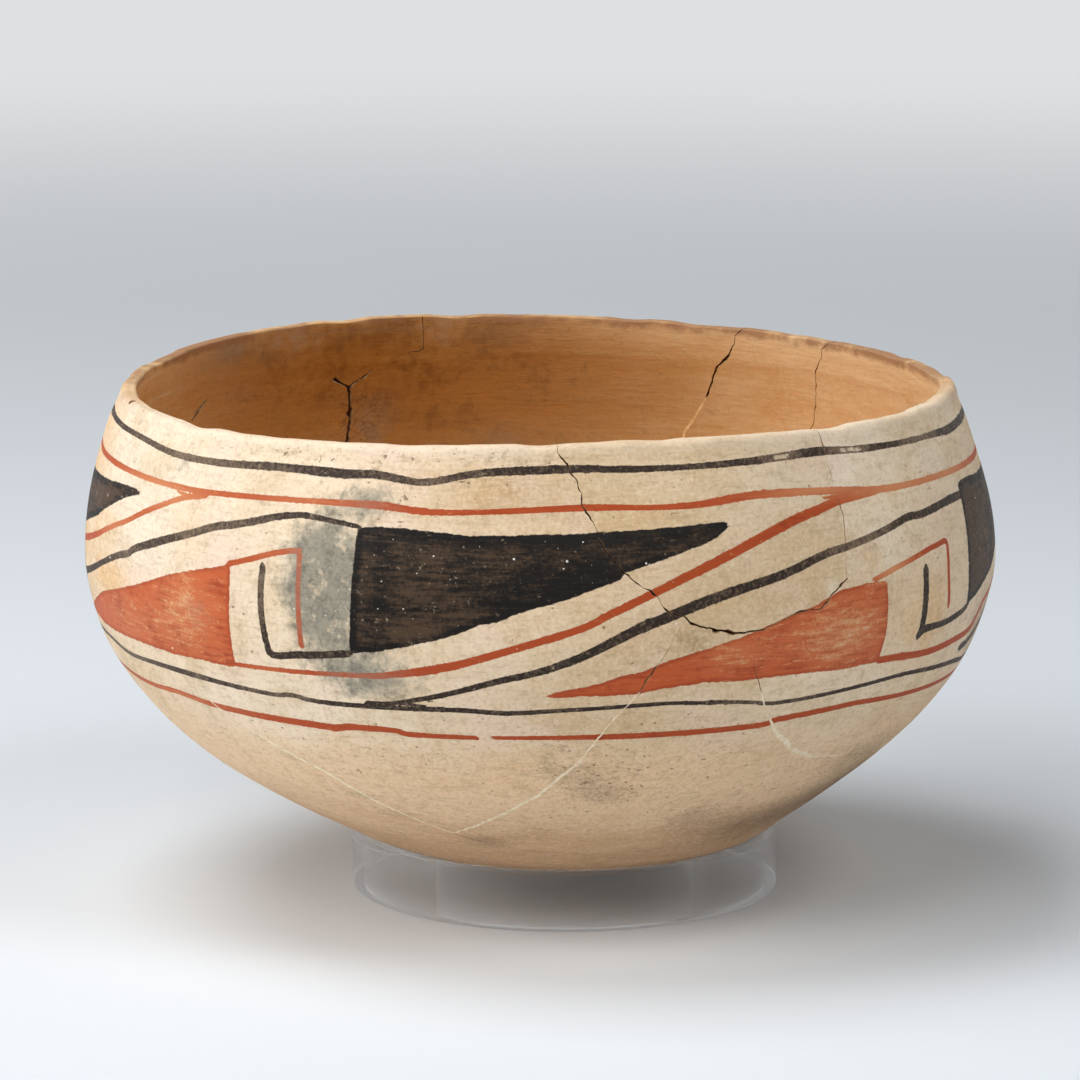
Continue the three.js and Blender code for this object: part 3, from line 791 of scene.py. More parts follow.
def brush_lines(azimuth, height, strokes):
    sideways = np.full(len(azimuth), FAR)
    guard = np.full(len(azimuth), -FAR)
    for widths, path in strokes:
        flat = smooth_curve(np.array(path) * (MM_PER_DEGREE, 1), 3)
        places, which = beside(azimuth, height, flat)
        distance, side = nearest_on(places, flat)
        if isinstance(widths, list):
            width = np.interp(places[:, 0] / MM_PER_DEGREE, *np.transpose(widths))
        else:
            width = np.full(len(places), widths)
        inside = np.maximum(width / 2 - distance, -FAR)
        closer = inside > guard[which]
        guard[which[closer]] = inside[closer]
        sideways[which[closer]] = (side * distance / (width / 2))[closer]
    return sideways, guard


def filled_fields(azimuth, height, polygons):
    depth = np.full(len(azimuth), -FAR)
    for polygon in polygons:
        flat = np.array(polygon + polygon[:1]) * (MM_PER_DEGREE, 1)
        places, which = beside(azimuth, height, flat)
        distance, _ = nearest_on(places, flat)
        inside = np.zeros(len(places), bool)
        for (x0, y0), (x1, y1) in zip(flat, flat[1:]):
            if y0 != y1:
                crosses = (y0 > places[:, 1]) != (y1 > places[:, 1])
                inside ^= crosses & (places[:, 0] < (x1 - x0) * (places[:, 1] - y0) / (y1 - y0) + x0)
        depth[which] = np.maximum(depth[which], np.where(inside, distance, -distance))
    return depth


print("paint is worked out up to", REACH, "mm round each stroke")

# %% [markdown]
# ## What the fire, the clay and the years did
# Pots fired in the open touch fuel and get grey clouds. The slip ends low on the belly, where the tan clay
# shows. Sherds that lay in different soil aged differently. Some patches also stand for light and shade: on
# the lower belly the smudges are partly painted shade, on the upper right the paler slip is partly painted
# light, and inside, painted shade darkens the low wall and the far left while painted light makes the right
# paler. All of these are soft patches, kept as a place, a width and height in mm, and a strength. The far
# side has its own, from a seed.

# %% Soft patches
# Each patch: azimuth, height, half width and half height in mm, strength
GREY_CLOUDS = [
    (-26.5, 103, 12, 17, 0.88), (-20, 124, 11, 5, 0.38), (-21, 80, 17, 9, 0.5), (-52.5, 126, 6, 3, 0.3),
    (-17, 112, 12, 5, 0.3), (62, 112, 9, 14, 0.2), (-45, 90, 7, 10, 0.35),
]
# Brown smudges. Those on the lower belly, strongest on the lower right, are painted shade as well
SMUDGES_AND_PAINTED_SHADE = [
    (6, 52, 11, 6, 0.42), (10, 46, 11, 5, 0.42), (26, 36, 14, 5, 0.3), (1, 57, 5, 6, 0.3),
    (-14.5, 58, 6, 2, 0.25), (-13.5, 28, 14, 4, 0.55), (-26, 37, 12, 3, 0.4), (-30, 43, 12, 2, 0.35),
    (56, 49, 20, 7, 0.4), (66, 35, 32, 12, 0.8), (44, 29, 44, 9, 0.6), (-5, 127, 24, 7, 0.2),
    (-2, 33, 16, 5, 0.3), (36, 97, 8, 4, 0.25), (19, 90, 12, 5, 0.35), (-34, 134, 24, 3, 0.2),
    (-3, 134, 12, 2, 0.25),
]
WARM_FLUSHES = [
    (-68, 92, 16, 7, 0.75), (-86, 100, 16, 34, 0.75), (-72, 108, 14, 8, 0.5), (50, 123, 20, 6, 0.25),
    (44, 105, 4, 3, 0.4), (54, 87, 11, 10, 0.7), (-48, 112, 12, 8, 0.25), (0, 55, 50, 8, 0.25),
    (70, 60, 30, 14, 0.3),
]
PAINT_WORN = [
    (32.7, 132, 6, 3, 0.9), (44, 132, 9, 3, 0.9), (60, 131, 12, 3, 0.7), (-52, 129, 34, 3, 0.6),
    (-14, 130, 14, 3, 0.4), (-56, 119, 28, 5, 0.85), (-66, 105, 14, 7, 0.6), (-30, 122.5, 14, 2, 0.5),
    (37, 124, 20, 2.5, 0.85), (51, 121.5, 20, 3, 0.9), (65, 121, 22, 3, 0.9), (-55, 66, 26, 2.5, 0.5),
    (-64, 74, 22, 2.5, 0.5), (-36, 72.5, 16, 2.5, 0.4), (28, 72, 16, 2.5, 0.45), (-35, 79, 9, 2, 0.4),
    (42, 110, 16, 3.5, 0.7), (-45, 112, 30, 6, 0.45), (-35, 100, 3, 10, 0.4), (-72, 111, 14, 5, 0.6),
    (71, 101, 10, 14, 0.8), (-14, 91.5, 9, 3, 0.8), (17, 113.5, 9, 2.5, 0.5),
    (39, 88, 16, 9, 0.75), (24, 86, 10, 5, 0.45), (47.5, 101.8, 9, 4, 0.95), (-2, 76, 6, 3, 0.6),
    (-62, 84, 20, 8, 0.4), (-48, 91, 12, 12, 0.6),
]
SOLID_BLACK = [
    (3, 103.5, 18, 6, 1), (7, 106.5, 16, 4, 0.9), (0, 116, 50, 3, 0.9), (18, 116, 14, 4, 1),
    (-19, 100, 3, 16, 0.7), (-3, 99.5, 8, 3, 0.9),
]


# On the far side: the limits of azimuth, height, half width and half height, and of the share of the strength
HIDDEN_LIMITS = [(80, 275), (35, 125), (8, 26), (6, 16), (0.4, 1)]


def hidden_patches(seed, count, strength):
    draw = np.random.default_rng(seed)
    drawn = ([draw.uniform(*limits) for limits in HIDDEN_LIMITS] for _ in range(count))
    return [(*place, strength * share) for *place, share in drawn]


def soft_patches(azimuth, height, patches):
    left = np.ones(len(azimuth))
    for middle, middle_height, half_width, half_height, strength in patches:
        turn = ((azimuth - middle + 180) % 360 - 180) * MM_PER_DEGREE / half_width
        left *= 1 - strength * np.exp(-(turn**2) - ((height - middle_height) / half_height) ** 2)
    return 1 - left


THIN_SLIP = [
    (4, 112, 34, 30, 0.5), (14, 92, 20, 8, 0.7), (6, 72, 38, 14, 0.7), (30, 100, 30, 12, 0.8),
    (-40, 90, 4, 16, 0.4), (60, 104, 14, 24, 0.35), (56, 84, 12, 8, 0.5), (-7, 126, 22, 7, 0.95),
    (9, 122, 26, 9, 0.85),
]
# Paler slip. On the upper right it is also painted light, and by the right step a painted highlight on a chip
PALE_SLIP_AND_PAINTED_LIGHT = [
    (48, 127, 40, 10, 0.9), (45, 106, 8, 8, 0.8), (37.6, 98.8, 2.5, 3, 1), (-62, 112, 40, 26, 0.75),
    (-35, 66, 30, 8, 0.5),
]
PITTED = [
    (-30, 133, 40, 4, 1), (-6, 134, 30, 2.5, 0.9), (-18, 124, 12, 7, 0.8), (-38, 90, 10, 8, 0.6),
    (-24, 60, 40, 10, 0.5), (12, 60, 40, 14, 0.6), (8, 50, 18, 9, 0.8), (36, 42, 40, 10, 0.6),
    (60, 125, 30, 8, 0.4),
]
# Inside, the low wall and the far left, which faces away from the lamps, are darkened: painted shade, with
# soot
INSIDE_SOOT_AND_PAINTED_SHADE = [
    (208, 118, 70, 44, 0.95), (211, 131, 44, 8, 0.7), (180, 118, 44, 40, 0.55), (160, 116, 30, 24, 0.25),
    (236, 134, 30, 8, 0.3), (0, 60, 150, 40, 0.4),
]
INSIDE_BLOOM = [(206, 104, 12, 12, 0.6), (185, 100, 12, 6, 0.4), (232, 134, 14, 4, 0.8)]
INSIDE_CRAZED = [(207, 110, 11, 13, 1), (238, 121, 5, 4, 0.8)]
# The inside right, which faces the lamps, and a band under the far rim are made paler: painted light
INSIDE_PAINTED_LIGHT = [(120, 120, 50, 50, 0.9), (150, 134, 80, 5, 0.5)]
GREY_CLOUDS += hidden_patches(31, 9, 0.8)
WARM_FLUSHES += hidden_patches(32, 7, 0.6)
PAINT_WORN += hidden_patches(33, 8, 0.6)
THIN_SLIP += hidden_patches(34, 8, 0.8)
SMUDGES_AND_PAINTED_SHADE += hidden_patches(35, 9, 0.6)
print(len(GREY_CLOUDS), "grey clouds,", len(WARM_FLUSHES), "flushes,", len(PAINT_WORN), "worn places")

# %% [markdown]
# ## Storing it on the sherds
# Everything the clay's material needs is written to the sherds' points after the break, from where each point
# lies: paint as distances, clouds as shares, and how far through the wall it is, 0 outside and 1 inside.

# %% Write the attributes
# The streaks' pattern starts and ends at this azimuth, on the hidden side
STREAK_SEAM = 134
WALL_CURVES = [curve[::6] for curve in (OUTSIDE, INSIDE)]
SHARP_ANGLE = math.radians(38)


def smooth(mesh):
    """Shaded smooth, with real edges left sharp."""
    mesh.shade_smooth()
    mesh.set_sharp_from_angle(angle=SHARP_ANGLE)


def store(mesh, name, *channels):
    """Up to three numbers at every point, as one vector attribute."""
    empty = np.zeros(len(mesh.vertices))
    values = np.column_stack(list(channels) + [empty] * (3 - len(channels))).astype(np.float32)
    mesh.attributes.new(name, "FLOAT_VECTOR", "POINT").data.foreach_set("vector", values.ravel())


# How much yellower than its neighbours each sherd has aged
SHERD_TONES = {
    "front_rim": 0.4, "front_lower": 0.3, "right": 0.05, "back": 0.5, "back_left": 0.2, "back_right": 0.35,
}


def write_attributes(sherd, tone):
    azimuth, height, radius = unrolled(points_of(sherd))
    section_places = np.column_stack([radius, height])
    outside, inside = (nearest_on(section_places, curve)[0] for curve in WALL_CURVES)
    through = outside / (outside + inside)
    mesh = sherd.data

    def patches(outer_list, inner_list=()):
        outer_value, inner_value = (soft_patches(azimuth, height, some) for some in (outer_list, inner_list))
        return np.where(through > 0.5, inner_value, outer_value)

    store(mesh, "black_lines", *brush_lines(azimuth, height, BLACK_STROKES), patches(PITTED))
    store(mesh, "red_lines", *brush_lines(azimuth, height, RED_STROKES), np.full(len(azimuth), tone))
    store(mesh, "fields", filled_fields(azimuth, height, BLACK_FIELDS),
          filled_fields(azimuth, height, RED_FIELDS), patches(SOLID_BLACK))
    store(mesh, "patches", patches(GREY_CLOUDS, INSIDE_BLOOM), patches(WARM_FLUSHES),
          patches(PAINT_WORN, INSIDE_CRAZED))
    store(mesh, "slip", patches(THIN_SLIP), patches(PALE_SLIP_AND_PAINTED_LIGHT, INSIDE_PAINTED_LIGHT), patches(SMUDGES_AND_PAINTED_SHADE, INSIDE_SOOT_AND_PAINTED_SHADE))
    store(mesh, "place", (azimuth - STREAK_SEAM) % 360 * MM_PER_DEGREE, height, through)
    smooth(mesh)


for name, sherd in sherds.items():
    write_attributes(sherd, SHERD_TONES.get(name, 0))
    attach(sherd, "bowl")
    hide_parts(name + "_sherd")
print("painted sherds:", len(sherds))

# %% [markdown]
# ## Short words for material nodes
# A painted pot's material is a stack of coats, each mixed over the last by a share from 0 to 1. A value is
# what one node gives at every point. Values add and multiply like numbers, and every sum makes the next node,
# so each coat reads as one line.

# %% Helpers for node trees


def pigment(red, green, blue):
    """A colour as a painter sees it, 0 to 255, turned into the linear light values that shaders use."""
    linear = [((c / 255 + 0.055) / 1.055) ** 2.4 if c > 10 else c / 255 / 12.92 for c in (red, green, blue)]
    return (*linear, 1)


def feed(tree, value, socket):
    """Links an input to a value or a socket, or sets it to a number or a colour."""
    value = getattr(value, "socket", value)
    if isinstance(value, bpy.types.NodeSocket):
        tree.links.new(value, socket)
    elif value is not None:
        socket.default_value = value


def new_node(tree, kind, inputs=(), **settings):
    """A node in any tree, with its inputs by name or number and its other settings by name."""
    made = tree.nodes.new(kind)
    for name, value in settings.items():
        setattr(made, name, value)
    for name, value in dict(inputs).items():
        feed(tree, value, made.inputs[name])
    return made


def joined_by(operation):
    """A way to join a value to others: it makes one math node."""
    return lambda value, *others: value.math(operation, value, *others)


class Value:
    """What one node gives at every point."""

    __add__, __sub__, __mul__ = joined_by("ADD"), joined_by("SUBTRACT"), joined_by("MULTIPLY")
    __pow__, __gt__, __abs__ = joined_by("POWER"), joined_by("GREATER_THAN"), joined_by("ABSOLUTE")
    at_least = joined_by("MAXIMUM")

    def __init__(self, tree, socket):
        self.tree, self.socket = tree, socket

    def __rsub__(self, number):
        return self.math("SUBTRACT", number, self)

    def math(self, operation, *values):
        made = new_node(self.tree, "ShaderNodeMath", enumerate(values), operation=operation)
        return Value(self.tree, made.outputs[0])

    def rise(self, low, high, to_low=0.0, to_high=1.0):
        """0 below low, 1 above high, smooth between; with the other two values, from one to the other."""
        made = new_node(self.tree, "ShaderNodeMapRange", enumerate((self, low, high, to_low, to_high)))
        made.interpolation_type = "SMOOTHSTEP"
        return Value(self.tree, made.outputs[0])


class Recipe:
    """The node tree of a material, or of the world, with its last shader."""

    def __init__(self, owner, shader="BSDF_PRINCIPLED"):
        owner.use_nodes = True
        self.tree = owner.node_tree
        self.shader = next(node for node in self.tree.nodes if node.type == shader)
        self.place = self.node("ShaderNodeTexCoord").outputs["Object"]

    def node(self, kind, inputs=(), **settings):
        return new_node(self.tree, kind, inputs, **settings)

    def value(self, made, output=0):
        return Value(self.tree, made.outputs[output])

    def coats(self, colour, *layers):
        """Coats over a first colour, one after another, each with its share and its colour."""
        for share, above in layers:
            colour = self.node("ShaderNodeMix", {0: share, 6: colour, 7: above}, data_type="RGBA").outputs[2]
        return colour

    def noise(self, scale, detail=3, roughness=0.5, vector=None, stretch=None):
        vector = vector or self.place
        if stretch:
            longer = self.node("ShaderNodeVectorMath", {0: vector, 1: stretch}, operation="MULTIPLY")
            vector = longer.outputs[0]
        inputs = {"Vector": vector, "Scale": scale, "Detail": detail, "Roughness": roughness}
        return self.value(self.node("ShaderNodeTexNoise", inputs))

    def attribute(self, name):
        return self.node("ShaderNodeAttribute", attribute_name=name).outputs["Vector"]

    def parts(self, vector):
        """The three numbers of a vector."""
        split = self.node("ShaderNodeSeparateXYZ", {0: vector})
        return [self.value(split, part) for part in range(3)]

    def relief(self, *layers):
        """Bumps one after another: each layer is a height from 0 to 1 and its depth in mm."""
        normal = None
        for height, depth in layers:
            inputs = {"Strength": 1, "Distance": depth * MM, "Height": height, "Normal": normal}
            normal = self.node("ShaderNodeBump", inputs).outputs[0]
        feed(self.tree, normal, self.shader.inputs["Normal"])

    def finish(self, colour, roughness, specular=0.35):
        given = {"Base Color": colour, "Roughness": roughness, "Specular IOR Level": specular}
        for name, value in given.items():
            feed(self.tree, value, self.shader.inputs[name])


print("the cream slip in linear light:", [round(part, 3) for part in pigment(242, 220, 190)])

# %% [markdown]
# ## Slip and bare clay
# Outside, the cream slip is thin and uneven: brushed in bands, rubbed smooth with a pebble, darker where it
# is thin. Low on the belly it gives way to tan clay. Its paler patches are partly painted light, and the
# brown smudges on the lower belly are partly painted shade.

# %% Clay colours
CREAM = pigment(242, 220, 190)
THIN_CREAM = pigment(216, 182, 140)
PALE_CREAM = pigment(248, 233, 212)
YELLOWED = pigment(214, 184, 138)
TAN = pigment(240, 204, 163)
DEEP_TAN = pigment(212, 167, 124)
FLUSH = pigment(236, 186, 122)
STAIN = pigment(164, 132, 98)
PINKISH = pigment(240, 210, 190)
PIT = pigment(112, 86, 62)
CLOUD = pigment(156, 149, 132)
DARK_CLOUD = pigment(112, 106, 94)
SMUDGE_AND_SHADE = pigment(120, 96, 72)

clay = Recipe(slipped_clay)
_, up_wall, through_wall = clay.parts(clay.attribute("place"))
cloud, flush, worn = clay.parts(clay.attribute("patches"))
thin, pale, smudges_and_shade = clay.parts(clay.attribute("slip"))
pitted = clay.parts(clay.attribute("black_lines"))[2]
tone = clay.parts(clay.attribute("red_lines"))[2]

blotches = clay.noise(24, 5, 0.6)
hue = clay.noise(42, 5, 0.65)
mottling = clay.noise(85, 5, 0.65)
freckles = clay.noise(330, 4, 0.7)
grain = clay.noise(1000, 4, 0.7)
brushed = clay.noise(34, 4, 0.6, stretch=(1, 1, 5))
fine_brushed = clay.noise(150, 4, 0.65, stretch=(1, 1, 6))
speckle = freckles * 0.25 + grain * 0.75

# The pale coat is paler slip, and on the upper right also painted light
slip = clay.coats(
    CREAM,
    ((brushed + mottling).rise(0.85, 1.35) * 0.35 + thin * 0.8, THIN_CREAM),
    (pale * mottling.rise(0.3, 0.55, 0.55, 1), PALE_CREAM),
    (hue.rise(0.48, 0.66, 0, 0.4), YELLOWED),
    (hue.rise(0.48, 0.34, 0, 0.5), PINKISH),
    (tone * blotches.rise(0.3, 0.55, 0.6, 1), YELLOWED),
)
low_body = (up_wall + blotches * 22).rise(82, 60)
worn_height = up_wall + (mottling + brushed) * 30
body = clay.coats(TAN, (worn_height.rise(78, 48), DEEP_TAN))

# Fine grain of the slip: darker and paler specks, brush marks, dirt, and a few deep brown pits
dirt = clay.noise(230, 5, 0.8) + (pitted + smudges_and_shade) * 0.07
pit_noise = clay.noise(560, 3, 0.6, stretch=(1, 1, 1.5))
pits = (pit_noise + pitted * 0.07).rise(0.7, 0.74)

# Grey clouds from the fire, and brown smudges, which on the lower belly are partly painted shade
patchy = (cloud * 0.75 + (mottling + freckles) * 0.42).rise(0.56, 0.86)
pale_spots = clay.noise(210, 4, 0.7).rise(0.55, 0.66, 1, 0.4)
smoke = patchy * cloud.rise(0.02, 0.25) * pale_spots
smoke_colour = clay.coats(CLOUD, ((freckles + grain).rise(0.9, 1.25), DARK_CLOUD))
dirt_and_shade = (smudges_and_shade * 0.8 + (mottling * 0.3 + speckle * 0.5)).rise(0.5, 1.1)
outer = clay.coats(
    slip,
    (low_body * 0.9, body),
    (flush * mottling.rise(0.25, 0.6), FLUSH),
    (speckle.rise(0.5, 0.62, 0, 0.26), STAIN),
    (speckle.rise(0.49, 0.38, 0, 0.3), PALE_CREAM),
    ((freckles + mottling).rise(1.0, 1.3, 0, 0.16), STAIN),
    (fine_brushed.rise(0.52, 0.66, 0, 0.2), STAIN),
    (dirt.rise(0.6, 0.72, 0, 0.45), STAIN),
    (pits * 0.7, PIT),
    (smoke, smoke_colour),
    (dirt_and_shade * smudges_and_shade.rise(0.02, 0.3) * 0.8, SMUDGE_AND_SHADE),
)
print("outer clay colours:", len(clay.tree.nodes), "nodes so far")

# %% [markdown]
# ## Black and red paint
# The black is a mineral and plant paint that went on thin in the big triangles: brown shows between the dark
# streaks of the brush, with a firm dark outline. The red is an iron earth, rubbed thin in places so that the
# slip shines through.

# %% Paint layers
BLACK = pigment(20, 16, 13)
BLACK_THIN = pigment(78, 60, 45)
BLACK_LINE = pigment(49, 38, 31)
BLACK_DRY = pigment(134, 113, 93)
RED = pigment(196, 92, 50)
RED_LINE = pigment(208, 96, 44)
RED_FADED = pigment(224, 156, 110)
RED_THIN = pigment(216, 150, 100)
RED_DARK = pigment(160, 66, 36)
GUARD_LIMIT = -0.45
OUTLINE_FROM, OUTLINE_TO = 2.8, 0.8

# Ragged edges in half widths of a line: long waves from the hand, short ones from the brush's hairs
hand = (clay.noise(90, 3, 0.6) - 0.5) * 0.9
hairs = (clay.noise(650, 4, 0.75) - 0.5) * 1.1
ragged = hand + hairs
place_vector = clay.attribute("place")
streaks = clay.noise(1, 5, 0.66, place_vector, (0.11, 0.95, 0))
dabs = clay.noise(1, 4, 0.6, place_vector, (0.1, 0.2, 0))
scratches = clay.noise(1, 5, 0.72, place_vector, (0.16, 0.7, 0))
flaking = clay.noise(520, 5, 0.75)


def line_share(name):
    """Share of paint from brush lines, and how far the place is from the line's middle, in half widths."""
    sideways, guard, _ = clay.parts(clay.attribute(name))
    off_middle = abs(sideways)
    within = (off_middle + ragged).rise(1.12, 0.88) * (guard > GUARD_LIMIT)
    return within.at_least((guard + ragged).rise(-0.02, 0.14)), off_middle


def field_share(depth):
    return (depth + ragged).rise(-0.12, 0.12)


black_depth, red_depth, solid = clay.parts(clay.attribute("fields"))
outer_skin = through_wall.rise(0.2, 0.1)

# A black line that is much worn keeps its two edges longest
black_lines, off_middle = line_share("black_lines")
much_worn = worn.rise(0.66, 0.84)
hollow = much_worn * off_middle.rise(0.8, 0.3)
rimmed = much_worn * off_middle.rise(0.4, 0.8)
dry = speckle * 0.9 + (mottling * 0.25 + worn * 0.18)
black_line = clay.coats(
    BLACK_LINE,
    (dry.rise(0.53, 0.82), BLACK_DRY),
    (hollow * mottling.rise(0.35, 0.6, 0.3, 0.8), BLACK_DRY),
    (worn * (1 - rimmed) * 0.3, BLACK_DRY),
)
firm = solid.at_least(black_depth.rise(OUTLINE_FROM, OUTLINE_TO))
darkness = streaks * 0.75 + dabs * 0.55 + firm * 0.22 + ((speckle - 0.5) * 0.8 + worn * -0.3)
black_area = clay.coats(BLACK_THIN, (darkness.rise(0.5, 0.84), BLACK))
black_colour = clay.coats(black_line, (black_depth.rise(-0.2, 0.2), black_area))
holes = (worn * 0.05 + hollow * 0.2 + flaking).rise(0.62, 0.76)
black_share = black_lines.at_least(field_share(black_depth)) * outer_skin * (1 - holes * 0.75)

# Red paint pooled at the edges of lines and fields, and in drops
red_lines, off_red_middle = line_share("red_lines")
in_red_field = red_depth.rise(-0.2, 0.2)
pooled = (red_lines * off_red_middle.rise(0.35, 0.9)).at_least(red_depth.rise(1.4, 0.2))
pooled = (pooled * 0.7).at_least((mottling + streaks).rise(0.95, 1.25)) * (1 - worn * 0.8)
worn_field = worn * in_red_field.rise(0, 1, 0.04, 0.2)
rubbed = worn_field + (scratches * 0.65 + grain * 0.35)
red_line = clay.coats(RED_LINE, (worn, RED_FADED))
red_area = clay.coats(RED, (worn * mottling.rise(0.3, 0.6, 0.35, 0.65), RED_FADED))
red_colour = clay.coats(
    red_line,
    (in_red_field, red_area),
    (pooled, RED_DARK),
    (rubbed.rise(0.56, 0.68, 0, 0.75), RED_THIN),
)
red_share = red_lines.at_least(field_share(red_depth)) * outer_skin * (1 - rubbed.rise(0.64, 0.8, 0, 0.7))

painted = clay.coats(
    outer,
    (red_share, red_colour),
    (black_share, black_colour),
    (smoke * (1 - black_share) * 0.3, CLOUD),
)
print("with paint:", len(clay.tree.nodes), "nodes")

# %% [markdown]
# ## Inside and rim
# Inside, the wall is orange-tan and scraped in level streaks. The far left has soot and crazing, and painted
# shade darkens it and the low wall; painted light makes the right and the band under the rim paler. The rim
# is rubbed down to a pale brown edge, with a painted highlight on its near side and painted shade on its far
# side.

# %% Inside, rim and the finished surface
INSIDE_ORANGE = pigment(217, 168, 111)
INSIDE_PALE = pigment(232, 196, 148)
INSIDE_SHADE_BROWN = pigment(152, 94, 12)
INSIDE_CREAM = pigment(240, 202, 156)
BLOOM = pigment(158, 136, 110)
SOOT = pigment(78, 52, 30)
RIM_BROWN = pigment(158, 114, 80)
LIP_STAIN = pigment(118, 84, 56)
LIP_GREY = pigment(184, 158, 132)

inner_tone = brushed * 0.35 + (freckles * 0.3 + mottling * 0.35)
sooty = (mottling + freckles + smudges_and_shade * 0.45).rise(1.32, 1.8, 0, 0.4)
bent = clay.node("ShaderNodeMix", {0: 0.006, 4: clay.place, 5: clay.noise(260, 3, 0.6)}, data_type="VECTOR")
cracks = clay.node("ShaderNodeTexVoronoi", {"Vector": bent.outputs[1], "Scale": 330},
                   feature="DISTANCE_TO_EDGE")
crazed = (worn + (mottling + blotches)).rise(1.6, 1.75)
craze = clay.value(cracks, "Distance").rise(0.06, 0.02) * crazed
lip_band = (up_wall + (blotches + mottling) * 6).rise(132, 140)
lip_mottle = clay.noise(48, 5, 0.7)
sooty_lip = lip_band * smudges_and_shade.rise(0.6, 0.95)
# Inside, the brown coat is painted shade, and the cream coat and the pale band under the rim are painted
# light
inner = clay.coats(
    INSIDE_ORANGE,
    (inner_tone.rise(0.38, 0.62), INSIDE_PALE),
    (pale * inner_tone.rise(0.35, 0.6, 0.5, 0.9), INSIDE_CREAM),
    (smudges_and_shade * inner_tone.rise(0.3, 0.6, 0.75, 1.0), INSIDE_SHADE_BROWN),
    (sooty, SOOT),
    (cloud * mottling.rise(0.3, 0.6), BLOOM),
    (speckle.rise(0.52, 0.66, 0, 0.2), SOOT),
    (craze * 0.45, SOOT),
    (lip_band * (1 - smudges_and_shade) * 0.45, INSIDE_PALE),
    (sooty_lip * lip_mottle.rise(0.44, 0.6) * 0.7, LIP_STAIN),
    (sooty_lip * lip_mottle.rise(0.5, 0.36) * 0.45, LIP_GREY),
)

crest = (up_wall + (mottling + freckles) * 3).rise(137.2, 139.4)
far_side = clay.parts(clay.place)[1].rise(-0.05, 0.03)
inside_share = through_wall + crest * far_side * 0.6 + blotches * 0.5
rim_stain_and_shade = crest * far_side * (blotches + mottling).rise(0.74, 1.04)
# The crest's near side gets a pale painted highlight; the far crest is browned, partly stain and partly
# painted shade
surface = clay.coats(
    painted,
    (inside_share.rise(0.62, 0.95), inner),
    (rim_stain_and_shade * 0.9, RIM_BROWN),
    (crest * (1 - far_side) * 0.2, PALE_CREAM),
)
polish = clay.noise(260, 3, 0.6, stretch=(1, 1, 4)) + black_share.at_least(red_share) * 0.2
clay.finish(surface, polish.rise(0.2, 0.9, 0.64, 0.5), 0.15)
clay.relief((blotches, 1.4), (brushed, 0.8), (fine_brushed, 0.1), (freckles, 0.08), (grain, 0.05),
            (1 - pits, 0.2))
print("painted clay:", len(clay.tree.nodes), "nodes")

# %% [markdown]
# ## Broken edges
# A fresh break shows the clay itself: grey-brown in the core, with pale grains of crushed rock mixed in, and
# dirt that the years have packed into the joints.

# %% Material of the breaks
CORE_BROWN = pigment(92, 62, 40)
CORE_TAN = pigment(156, 112, 74)
ROCK_GRAIN = pigment(196, 176, 146)
SKIN_TAN = pigment(214, 178, 136)

core = Recipe(broken_clay)
core_depth = core.parts(core.attribute("place"))[2]
lumps = core.noise(700, 4, 0.7)
grains = core.node("ShaderNodeTexVoronoi", {"Vector": core.place, "Scale": 900})
edge = abs(core_depth - 0.5).rise(0.3, 0.47)
core_colour = core.coats(
    CORE_BROWN,
    (lumps.rise(0.4, 0.65), CORE_TAN),
    (core.value(grains, "Distance").rise(0.2, 0.12), ROCK_GRAIN),
    (edge * lumps.rise(0.3, 0.6), SKIN_TAN),
)
core.finish(core_colour, 0.85, 0.2)
core.relief((lumps, 0.4))
print("broken clay:", len(core.tree.nodes), "nodes")

# %% [markdown]
# ## Filled joints
# Where grains and splinters were lost, the mender filled the joint with a pale putty, scraped flush. The
# filler is what the filled joint's cutter took out of the unbroken wall, so it fits both skins. The one on
# the inside has taken on the colour of the clay.

# %% Material and slots of the fills
def joint_putty(name, pale, deep):
    putty = bpy.data.materials.new(name)
    filler = Recipe(putty)
    smear = filler.noise(500, 4, 0.65)
    filler.finish(filler.coats(pale, (smear.rise(0.35, 0.7), deep)), 0.8, 0.25)
    filler.relief((smear, 0.25))
    return putty


clean_putty = joint_putty("pale_joint_filler", pigment(250, 234, 206), pigment(228, 202, 162))
stained_putty = joint_putty("stained_joint_filler", pigment(238, 204, 154), pigment(208, 160, 106))
for name, fill in fills.items():
    fill.data.materials.clear()
    fill.data.materials.append(stained_putty if name == "back_joint_fill" else clean_putty)
    smooth(fill.data)
    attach(fill, "bowl")
    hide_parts(name)
print("fills:", sorted(fills))

# %% [markdown]
# ## The display ring
# It is a slice sawn off a clear tube and polished, so it follows a rule exactly: a rounded rectangle swept
# round a circle. Geometry Nodes is made for that, with the tube's sizes as named inputs.

# %% Geometry Nodes for the ring
RING_OUTER_RADIUS = 57.15
RING_WALL = 3.2
RING_EDGE = 0.35
RING_SIDES = 192

clear = bpy.data.materials.new("clear_tube")
tube = Recipe(clear)
handling = tube.noise(60, 4, 0.7)
tube.finish(pigment(250, 252, 252), handling.rise(0.4, 0.8, 0.02, 0.06), 0.5)
for name, value in {"Transmission Weight": 1, "Alpha": 0.42, "IOR": 1.49}.items():
    tube.shader.inputs[name].default_value = value


